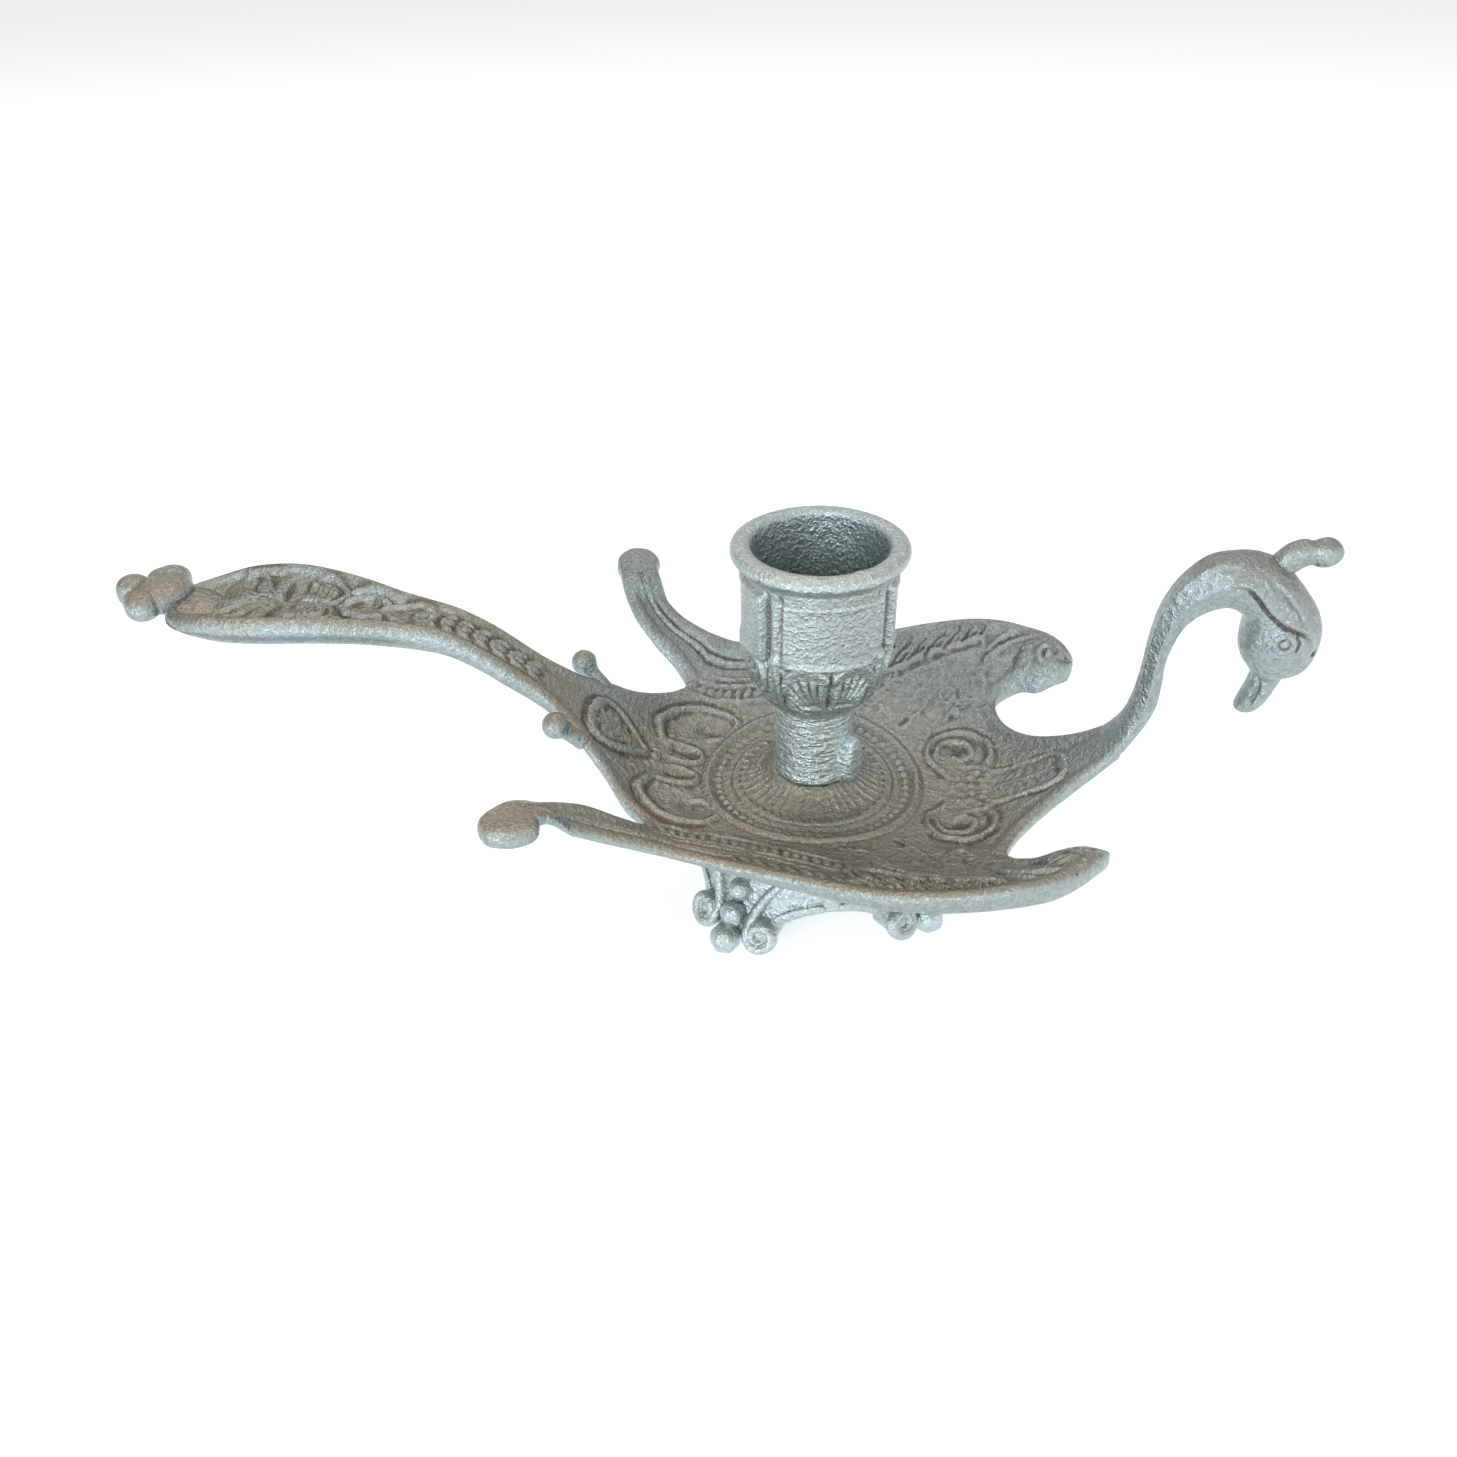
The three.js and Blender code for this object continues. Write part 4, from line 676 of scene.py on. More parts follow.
def tray_sheet(rim_extra, lobe_extra, depth):
    """The cast plate as one closed skin. Lines run from the middle line to the body's edge and from a wing's
    inner edge to its outer edge; upper skin, lower skin and their mirror images share their border points."""
    rear = stretch(BODY_AND_HORN_EDGE, 0, REAR_NOTCH, REAR_COUNT)
    horn_in = stretch(BODY_AND_HORN_EDGE, len(BODY_AND_HORN_EDGE) - 1, REAR_NOTCH, HORN_COUNT)
    horn_out = stretch(WING_EDGE, 0, HORN_END, HORN_COUNT)
    wing_top = stretch(WING_EDGE, HORN_END, LOBE_START, WING_COUNT)
    lobe_out = stretch(WING_EDGE, LOBE_START, len(WING_EDGE) - 1, LOBE_COUNT)
    lobe_in = stretch(LOBE_AND_BREAST_EDGE, FRONT_NOTCH, 0, LOBE_COUNT)
    breast = stretch(LOBE_AND_BREAST_EDGE, FRONT_NOTCH, len(LOBE_AND_BREAST_EDGE) - 1, BREAST_COUNT)
    t = np.linspace(0, 1, SEAM_COUNT + 1)[1:-1, None]
    seam_place = rear[0][-1] * (1 - t) + breast[0][0] * t
    body_edge = joined_rows(rear, seam_stations(seam_place, rear[1][-1], breast[1][0]), breast)
    wing_in = joined_rows(horn_in, seam_stations(seam_place, horn_in[1][-1], lobe_in[1][0]), lobe_in)
    wing_out = joined_rows(horn_out, cut(wing_top, 1, -1), lobe_out)
    notch_x = BODY_AND_HORN_EDGE[REAR_NOTCH][0]
    rear_x = rear[0][:, 0] + AXIS_AHEAD * ease(rear[0][:, 0], AXIS_FROM, notch_x)
    turning = int(np.argmax(rear_x > notch_x + 1.5))
    rear_x[turning:] = np.linspace(rear_x[turning], notch_x + AXIS_AHEAD, len(rear_x) - turning)
    seam_x = rear_x[-1] + (SEAM_END - rear_x[-1]) * t[:, 0]
    breast_x = np.linspace(SEAM_END, breast[0][-1, 0], len(breast[0]))
    axis_x = np.concatenate([rear_x, seam_x, breast_x])
    flat = np.zeros(len(axis_x))
    axis = (np.stack([axis_x, flat], -1), np.stack([flat, flat], -1), flat, flat)
    # The skins close at a point beyond the tail, one under the neck and one in each horn's round end
    tail_x, neck_x = rear[0][0, 0], breast[0][-1, 0]
    tail = np.array([tail_x - 1.2, 0, plate_height(tail_x, 0) + RIM_BORDER])
    neck = np.array([neck_x + 1, 0, plate_height(neck_x, 0)])
    horn = np.array([HORN_X, HORN_Y + 1, plate_height(HORN_X, HORN_Y + 1) + RIM_BORDER])
    parts, dark = [], []
    sheets = (
        ((axis, body_edge, True), BODY_COLUMNS, (tail, neck)),
        ((wing_in, wing_out, False), WING_COLUMNS, (horn,)),
    )
    for lines, middle, ends in sheets:
        for rows, count, upper in ((RIM_ABOVE, middle, True), (RIM_BELOW, UNDER_COLUMNS, False)):
            plan, values, weight = across(*lines[:2], rows, count, lines[2])
            z = raised_plate(plan, values, rim_extra, lobe_extra)
            flat = plan.reshape(-1, 2)
            recess = np.zeros_like(z)
            if upper:
                drawing = Relief(flat + unsteady(flat, UNSTEADY_REACH))
                if lines[2]:
                    draw_handle(drawing)
                draw_dish(drawing)
                draw_wing(drawing)
                worn = 0.8 + 0.3 * waves(flat, 0.42, 7.0) + 0.45 * ease(-flat[:, 0], 50, 62)
                relief = depth * (drawing.value() * worn).reshape(z.shape)
                if not lines[2]:
                    relief = relief + horn_flutes(plan)
                relief = relief + chased_ground(flat).reshape(z.shape)
                relief = relief * weight + 0.05 * waves(flat, 0.55).reshape(z.shape) * ease(weight, 0, 0.3)
                r = np.hypot(plan[..., 0], plan[..., 1])
                relief = relief * ease(r, *FADE_RADII)
                z = z + relief - CENTRE_SINK * (1 - ease(r, *SINK_RADII))
                recess = dents(relief, 3)
            points = np.concatenate([plan, z[..., None]], -1)
            caps = [np.broadcast_to(end, points[:1].shape) for end in ends]
            points = np.concatenate([caps[0], points, *caps[1:]])
            recess = np.concatenate([recess[:1], recess] + [recess[-1:]] * (len(ends) - 1))
            faces = grid_faces(*points.shape[:2])
            points = points.reshape(-1, 3)
            parts.append((points, faces if upper else faces[:, ::-1]))
            parts.append((near_horn_back(points * [1, -1, 1]), faces[:, ::-1] if upper else faces))
            dark += [recess.ravel(), recess.ravel()]
    points, faces = put_together(parts)
    return points, faces, np.concatenate(dark)


def chased_ground(points):
    """Short uneven strokes between the ornaments: crests of a rippled wave whose direction drifts."""
    drift = 0.9 * waves(points, 0.3, 5.0)
    along = points[:, 0] * np.cos(drift) + points[:, 1] * np.sin(drift)
    phase = 3.4 * along + 2.2 * waves(points, 0.9, 6.0)
    strokes = 0.11 * np.abs(np.sin(phase)) * np.clip(waves(points, 0.75, 8.0) + 0.35, 0, 1)
    return strokes + 0.09 * waves(points, 1.6, 9.0)


def near_horn_back(points):
    """Points of the side of negative y, with its horn moved by NEAR_HORN_SHIFT and the rest as it was."""
    share = ease(-points[:, 1], 27, 40) * ease(-points[:, 0], 22, 40)
    return points + share[:, None] * np.array(NEAR_HORN_SHIFT)


def horn_flutes(plan):
    """Three long grooves with soft bulges between them that run from the horn's end into the wing."""
    step = np.linalg.norm(np.diff(plan, axis=1), axis=2)
    share = np.concatenate([np.zeros((len(plan), 1)), np.cumsum(step, axis=1)], axis=1)
    width = share[:, -1:]
    out = share / np.maximum(width, 1e-6)
    fade = 1 - ease(plan[..., 0], -17, -7)
    total = np.zeros(out.shape)
    for at in (0.52, 0.68, 0.84):
        near = np.abs(out - at) * width
        total -= 0.5 * np.exp(-((near / 0.42) ** 2))
        total += 0.28 * np.exp(-(((out - at - 0.07) * width / 0.6) ** 2))
    return total * fade * ease(width, 2, 6)


# Middle of the dish, in millimetres from the stem's axis: foot and flat top of the dome, its height, the ring
# of beads, the border ridge, and radius and depth of the boss underneath.
DOME_FOOT, DOME_TOP, DOME_HEIGHT = 14.2, 7.0, 2.75
BEAD_RING, BORDER_RING = 17.0, 19.1
BOSS_RADIUS, BOSS_BELOW = 20.5, 3.8


def dish_centre(flutes, beads):
    """Fluted dome, bead ring and border ridge in the middle of the dish, with the boss under it. A polar
    grid: the upper rows follow the bowl of the dish, the lower ones are level."""
    columns = 560
    turn = np.arange(columns) / columns * 2 * math.pi
    radius = np.r_[np.linspace(0, 6.2, 4), np.linspace(6.5, 20.8, 76)][:, None]
    x, y = radius * np.cos(turn), radius * np.sin(turn)
    bowl = plate_height(x, y)
    up = np.clip((DOME_FOOT - radius) / (DOME_FOOT - DOME_TOP), 0, 1)
    dome = (bowl + 0.5) * (1 - up**1.5) + DOME_HEIGHT * up**1.5
    z = np.where(radius < DOME_FOOT, dome, bowl + 0.5 * (1 - ease(radius, DOME_FOOT, 14.9)))
    place = turn * flutes / (2 * math.pi)
    place = (place + 0.12 * np.sin(place * 0.9)) % 1 * 2 - 1
    end = 12.5 + 0.9 * np.sqrt(1 - place**2)
    groove = np.sqrt(1 - np.abs(place) ** 2.4)
    z -= 0.42 * groove * ease(radius, 7.4, 9.4) * (1 - ease(radius, end - 0.35, end + 0.1))
    z += 0.12 * np.exp(-(((radius - 15.1) / 0.35) ** 2))
    z -= 0.25 * np.exp(-(((radius - BEAD_RING) / 1.15) ** 4))
    pitch = 2 * math.pi / beads
    off = ((turn + pitch / 2) % pitch - pitch / 2) * radius
    size = 0.78 + 0.06 * np.sin(turn * 3)
    worn = 0.32 + 0.14 * np.sin(2 * turn + 1) + 0.1 * np.sin(7 * turn)
    z += worn * np.sqrt(np.clip(1 - (off**2 + (radius - BEAD_RING) ** 2) / size**2, 0, 1))
    z += 0.5 * np.exp(-(((radius - BORDER_RING) / 0.75) ** 2))
    z -= 0.5 * ease(radius, 19.9, 20.8)
    z += 0.7 * chased_ground(np.stack([x.ravel(), y.ravel()], -1)).reshape(z.shape) * (radius > 7)
    recess = dents(z - bowl, 3) * ease(radius, 6.8, 8)
    lower = (
        (20.8, -1.9), (BOSS_RADIUS, -2.1), (BOSS_RADIUS, 0.5 - BOSS_BELOW), (BOSS_RADIUS - 0.4, -BOSS_BELOW),
        (0, -BOSS_BELOW),
    )
    rims = [np.stack([r * np.cos(turn), r * np.sin(turn), np.full(columns, h)], -1) for r, h in lower]
    points = np.concatenate([np.stack([x, y, z], -1), np.array(rims)])
    recess = np.concatenate([recess, np.zeros((len(rims), columns))])
    return points.reshape(-1, 3), grid_faces(*points.shape[:2], around=True), recess.ravel()


# Neck, head and small castings

# Sections of neck, head and bill, and of the crest, in the middle plane: outer x, z, inner x, z, half width.
# Each grid counts the points along and round the body.
NECK_GRID, CREST_GRID = (620, 130), (90, 48)
NECK_SECTIONS = (
    (44, 7.4, 45.6, 5, 6.6), (47.2, 10.3, 49, 8, 5.6), (50, 14, 52.3, 11.8, 4.5),
    (51.6, 17.6, 55, 16.2, 3.3), (52.4, 21.2, 56.5, 20.6, 2.7), (52.8, 25, 56.6, 25, 2.35),
    (52.9, 29, 56.4, 29, 2.2), (53, 33, 56.9, 32.4, 2.3), (53.5, 37.6, 57.8, 35.4, 2.6),
    (54.8, 41.7, 59.2, 37.4, 3), (56.9, 45, 60.7, 38.6, 3.4), (59.4, 47.3, 62, 39.2, 3.7),
    (62.6, 48.3, 63.2, 39.4, 4), (66, 48.5, 64.8, 38.9, 4.2), (69.2, 47.6, 66.1, 37.8, 4.4),
    (72, 45.4, 66.5, 36.4, 4.7), (74.6, 42.6, 66.5, 34.6, 5), (77, 39.4, 66.7, 32.6, 5.1),
    (78.2, 36, 67.3, 31, 5), (78.2, 32.6, 68.1, 29.8, 4.6), (77.6, 30.2, 68.9, 28.8, 4),
    (76.2, 29, 69.4, 28.1, 3.4), (74.8, 28.2, 69.8, 27.4, 2.9), (74.2, 26.4, 69.6, 25.9, 2.6),
    (73.6, 24.2, 69.2, 24, 2.45), (72.9, 22.3, 68.7, 22.2, 2.2), (71.9, 20.9, 68.6, 21, 1.7),
    (70.9, 20.3, 69.2, 20.3, 0.9), (70.1, 20.1, 70, 20.1, 0.05),
)
CREST_SECTIONS = (
    (66.4, 45.4, 68.6, 42.9, 1.9), (68.7, 48.6, 70.6, 45, 1.9), (70.1, 50.2, 71.9, 45.9, 1.8),
    (71.9, 51, 73, 46.8, 1.7), (73.5, 50.9, 73.8, 47.1, 1.65), (74.6, 51.3, 74.7, 46.9, 2),
    (75.8, 51.4, 75.8, 47, 2.2), (76.9, 50.9, 76.9, 47.5, 1.8), (77.6, 50.1, 77.6, 48.3, 1.1),
    (78, 49.3, 78, 49.1, 0.05),
)


def neck_facets(t):
    """Share of the faceted section at section number t: the neck's upright part is faceted, the rest oval."""
    return ease(t, 2, 5) * (1 - ease(t, 10, 14))


def draw_head(r):
    """Plumage edges, eye, cheek folds and bill line, drawn on the side view (x, z)."""
    cheek = [
        (61, 44.4), (63.4, 45), (65.1, 44.6), (66.7, 43.2), (68.6, 41.1), (70.7, 39.5), (73.1, 38.4),
        (75, 37.3), (76.6, 35.6),
    ]
    r.bank(cheek, 2.6, 0.6, 1)
    r.groove([(64.6, 44.2), (66.3, 42.8), (68.3, 40.6), (70.5, 39), (73, 37.9), (75.4, 36.4)], 0.45, 0.45)
    r.bank([(68, 46), (70, 44.2), (71.5, 42.6), (73, 40.7), (74.5, 38.2), (76, 36.2)], 2, 0.45, 1)
    r.ridge([(66.9, 45.6), (68.1, 43.7), (69.3, 41.7)], 0.5, 0.35)
    for k in range(4):
        r.ridge([(67.8 + 1.3 * k, 44.2 - 0.9 * k), (68.9 + 1.3 * k, 42.4 - 0.85 * k)], 0.4, 0.22)
    eye_x, eye_z = 71.7, 35.8
    turns = np.linspace(0, 2 * math.pi, 15)
    for size, half_width, height in ((1.35, 0.4, 0.36), (2.1, 0.35, 0.16)):
        ring = [(eye_x + size * math.cos(a), eye_z + size * 1.1 * math.sin(a)) for a in turns]
        r.ridge(ring, half_width, height, 0.001)
    r.knob(eye_x, eye_z, 0.7, 0.4)
    r.groove([(73, 37.6), (73.9, 36), (73.7, 34.2)], 0.4, 0.45)
    r.ridge([(74.6, 36.4), (75.6, 34.6), (75.4, 32.4)], 0.6, 0.2)
    r.groove([(69.3, 28.8), (70.6, 27), (70.6, 24.9), (70, 22.6)], 0.5, 0.45, 0.1)
    r.ridge([(71.4, 27.6), (71.8, 25), (71.2, 22.6)], 0.7, 0.22)
    r.ridge([(68.4, 29.6), (70.8, 28.6), (73.6, 29.4), (76, 30.6)], 0.8, 0.22)
    r.hollow(77.2, 33.7, 0.75, 1.4, 1.2, 0.6)


def lofted(sections, rows, columns, facets=None, draw=None):
    """Body through sections given by an outer and an inner point in the middle plane and a half width. The
    section is a full oval |c|^0.9, |s|^0.9; facets(t) blends in a polygon with edges along the neck. draw
    pushes the skin out along its normal by a drawing on the side view."""
    data = np.array(sections, float)
    t = np.linspace(0, len(data) - 1, rows)
    at = curve_at(data, t)
    centre = (at[:, :2] + at[:, 2:4]) / 2
    half = (at[:, :2] - at[:, 2:4]) / 2
    width = np.maximum(at[:, 4], 0.02)
    turn = np.arange(columns) / columns * 2 * math.pi
    c, s = np.cos(turn), np.sin(turn)
    oval_c, oval_s = np.sign(c) * np.abs(c) ** 0.9, np.sign(s) * np.abs(s) ** 0.9
    # Corners of the faceted section, as angles from the outer side
    edges = np.radians([-30, 30, 82, 142, 218, 278, 330, 390])
    mapped = np.where(turn > math.radians(330), turn - 2 * math.pi, turn)
    poly_c, poly_s = np.interp(mapped, edges, np.cos(edges)), np.interp(mapped, edges, np.sin(edges))
    blend = np.zeros(rows) if facets is None else facets(t)
    sc = oval_c * (1 - blend[:, None]) + 1.04 * poly_c * blend[:, None]
    ss = oval_s * (1 - blend[:, None]) + 1.08 * poly_s * blend[:, None]
    x = centre[:, :1] + half[:, :1] * sc
    z = centre[:, 1:] + half[:, 1:] * sc
    y = width[:, None] * ss
    recess = np.zeros(x.shape)
    if draw is not None:
        drawing = Relief(np.stack([x.ravel(), z.ravel()], -1))
        draw(drawing)
        size = np.maximum(np.linalg.norm(half, axis=1), 0.05)
        facing = np.abs(ss) / np.hypot(ss, sc * (width / size)[:, None])
        push = drawing.value().reshape(x.shape) * ease(facing, 0.15, 0.6)
        nx, nz = half[:, :1] / size[:, None] ** 2 * sc, half[:, 1:] / size[:, None] ** 2 * sc
        ny = ss / width[:, None]
        norm = np.maximum(np.sqrt(nx**2 + ny**2 + nz**2), 1e-9)
        push = push * ease(width, 0.3, 1.2)[:, None]
        x, y, z = x + push * nx / norm, y + push * ny / norm, z + push * nz / norm
        recess = dents(push, 3)
    points = np.stack([x, y, z], -1)
    ends = [points[:1].mean(1, keepdims=True), points[-1:].mean(1, keepdims=True)]
    points = np.concatenate([np.repeat(ends[0], columns, 1), points, np.repeat(ends[1], columns, 1)])
    recess = np.concatenate([recess[:1] * 0, recess, recess[-1:] * 0])
    points = points + 0.04 * waves(points.reshape(-1, 3), 0.9, 2.0).reshape(points.shape[:2])[..., None]
    points[[0, -1]] = points[[0, -1]].mean(1, keepdims=True)
    return points.reshape(-1, 3), grid_faces(*points.shape[:2], around=True), recess.ravel()


UP = (0, 0, 1)


def revolved(profile, columns, origin, upward, forward=(1, 0, 0), stretch=(1, 1), shape=None):
    """Body turned about the axis upward through origin from a profile of (radius, height). stretch widens it
    along and across forward; shape(angle, share) may push the skin out."""
    radius, height = np.array(profile, float).T
    turn = np.arange(columns) / columns * 2 * math.pi
    up = np.asarray(upward, float) / np.linalg.norm(upward)
    ahead = np.asarray(forward, float) - np.dot(forward, up) * up
    ahead /= np.linalg.norm(ahead)
    side = np.cross(up, ahead)
    share = np.linspace(0, 1, len(radius))[:, None]
    r = radius[:, None] * np.ones(columns)
    if shape is not None:
        r = r + shape(turn[None], share) * (radius[:, None] > 0)
    points = (
        np.asarray(origin, float)
        + (r * np.cos(turn) * stretch[0])[..., None] * ahead
        + (r * np.sin(turn) * stretch[1])[..., None] * side
        + height[:, None, None] * up
    )
    return points.reshape(-1, 3), grid_faces(len(radius), columns, around=True)


def ball_profile(radius, half_height, rows=21, power=1.0):
    """Profile of a flattened ball; a power under 1 makes it fuller."""
    a = np.linspace(-math.pi / 2, math.pi / 2, rows)
    r = radius * np.abs(np.cos(a)) ** power
    r[[0, -1]] = 0
    return np.stack([r, half_height * np.sign(np.sin(a)) * np.abs(np.sin(a)) ** power], -1)


def both_sides(parts):
    """Parts and their mirror images across the middle plane, with the faces turned round."""
    return parts + [(points * [1, -1, 1], faces[:, ::-1]) for points, faces in parts]


def horn_ends():
    """Thick round ends of the horns: a coin with a full rounded edge and a slightly crowned face."""
    half = HORN_THICKNESS / 2
    edge = [
        (HORN_RADIUS - 1.1 + 1.1 * math.cos(t) ** 0.8, half * math.sin(t))
        for t in np.linspace(-1, 1, 15) * math.pi / 2
    ]
    crown = [(HORN_RADIUS * 0.6, half + 0.12), (HORN_RADIUS * 0.3, half + 0.2), (0, half + 0.22)]
    profile = [(0, -half), (HORN_RADIUS * 0.5, -half), *edge, *crown]
    normal = np.array([0, -HORN_SLOPE, 1]) / math.hypot(HORN_SLOPE, 1)
    origin = np.array([HORN_X, HORN_Y, HORN_TOP]) - normal * half

    def uneven(turn, share):
        """Slight lumps round the coin."""
        return 0.08 * np.sin(3 * turn + 1) + 0.05 * np.sin(7 * turn)

    ends = both_sides([revolved(profile, 72, origin, normal, shape=uneven)])
    return [(near_horn_back(points), faces) for points, faces in ends]


def finial_lobes():
    """Three chunky lobes at the tail: a tip ball and two beans beside it, with a lens that joins them and a
    low lens towards the spoon."""
    level = 30.3
    floor = float(plate_height(-111.5, 0))

    def dimple(turn, share):
        """Hollow that makes a bean of the ball."""
        return -0.35 * np.exp(-((((turn + 1.2) % (2 * math.pi)) - math.pi) / 0.5) ** 2)

    tip = revolved(ball_profile(3.1, 3, 25, 0.85), 48, (-122.6, 0, level), UP)
    joint = revolved(ball_profile(5.2, 2.6, 25, 0.8), 48, (-117.4, 0, level - 0.1), UP, stretch=(1, 1.15))
    low = revolved(ball_profile(5.2, 1.5, 25), 48, (-112.5, 0, floor - 0.3), (0.16, 0, 1), stretch=(1.3, 1))
    way = (math.cos(0.6), math.sin(0.6), 0)
    bean = revolved(ball_profile(3, 2.5, 25, 0.84), 64, (-118.7, 4.8, level), UP, way, (1.28, 1), dimple)
    return [tip, joint, low, *both_sides([bean])]


def spur_clubs():
    """Small club-shaped spurs beside the tail: a stub that swells to a ball."""
    root_x, root_y = -39.6, 8.4
    root = np.array([root_x, root_y, float(plate_height(root_x, root_y)) - 1.2])
    tip = np.array([-44.3, 10.5, 15.2])
    way = tip - root
    length = np.linalg.norm(way)
    t = np.linspace(0, 1, 34)
    radius = 1.6 - 0.2 * ease(t, 0, 0.4) + ease(t, 0.42, 0.72)
    radius = radius * np.where(t > 0.7, np.sqrt(np.clip(1 - ((t - 0.7) / 0.3) ** 2, 0, 1)), 1)
    radius[[0, -1]] = 0
    return both_sides([revolved(np.stack([radius, t * (length + 1.6)], -1), 40, root, way)])


# Candle socket

# Half outline of the socket: radius, height, from the stem's foot over the lip down to the bore's floor.
SOCKET_OUTLINE = (
    (0, 2.6), (6.75, 2.6), (6.85, 3.4), (6.65, 5.5), (6.6, 9), (6.75, 13), (6.85, 16.6), (7.15, 17.5),
    (7.7, 17.9), (8.6, 18.6), (9.7, 20.1), (10.7, 22), (11.5, 24.2), (12.05, 26.6), (12.25, 28.8),
    (12.2, 30), (12.15, 32), (12.15, 36), (12.2, 40), (12.25, 42), (12.4, 43.2), (12.9, 44), (13.8, 44.6),
    (14.4, 45.2), (14.45, 45.8), (14.2, 46.4), (13.6, 46.85), (12.8, 47), (12, 46.95), (11.4, 46.75),
    (11.05, 46.2), (11, 45), (11, 40), (11, 34), (11, 28), (10.6, 27.2), (9.8, 27), (5, 27), (0, 27),
)
# Knot of the outline at which the outside ends, on top of the lip, and the top of the filed stem.
LIP_KNOT, STEM_TOP = 27, 17.2
# Points round the socket and rows per millimetre of its outline; radius at which the drawing is unrolled.
SOCKET_COLUMNS, SOCKET_ROWS, CUP_RADIUS = 336, 2.9, 12.3
# Raised panels: half width round the cup, lower and upper edge.
PANEL_HALF, PANEL_LOW, PANEL_HIGH = 7.9, 30.0, 41.8
SOCKET_TURN = math.radians(15)


def draw_panel(r):
    """Leaf band, tongue and panel fillets of half a quarter, on the unrolled face (way round, height)."""
    leaf = [
        (0.2, 27.2), (0.5, 28.8), (1.8, 29.9), (3.8, 30.4), (5.9, 29.9), (7.3, 28.5), (7.9, 26.3),
        (7.6, 24),
    ]
    r.bank(leaf, 3.4, 0.95, -1, 0.06)
    r.groove([(-0.3, 29.4), (0, 27.5), (0.1, 24.5), (0.1, 21.5)], 0.5, 0.7, 0.1)
    fan = ((1.5, 28.6), (3.1, 29.3), (4.8, 29.2), (6.3, 28.2), (7.1, 26.4), (7, 24.4))
    for k, (u, z) in enumerate(fan):
        start = (0.5 + 0.35 * k, 20.3 + 0.15 * k)
        middle = ((start[0] + u) / 2 + 0.35, (start[1] + z) / 2 - 0.5)
        r.ridge([start, middle, (u, z)], 0.62, 0.55, 0.2)
        below = [(start[0] + 0.5, start[1] + 1.4), (middle[0] + 0.7, middle[1] + 0.2), (u + 0.6, z - 0.9)]
        r.groove(below, 0.3, 0.5)
    r.ridge([(0.6, 19.6), (3, 19.9), (5.6, 20.5), (7.6, 21.8)], 0.7, 0.4)
    # Slender tongue between two panels, with a bead over it
    r.ridge([(9.2, 20), (8.9, 23.5), (9, 27), (9.66, 30.4)], 0.5, 0.7)
    r.knob(9.66, 30.2, 1.15, 0.8, 1.3, 0)
    r.groove([(8.4, 21), (8.2, 25), (8.5, 29)], 0.35, 0.5)
    r.ridge([(9.66, 20), (9.66, 28)], 0.35, 0.35)
    r.ridge([(9.66, 31.6), (9.66, 40.8)], 0.55, 0.35)


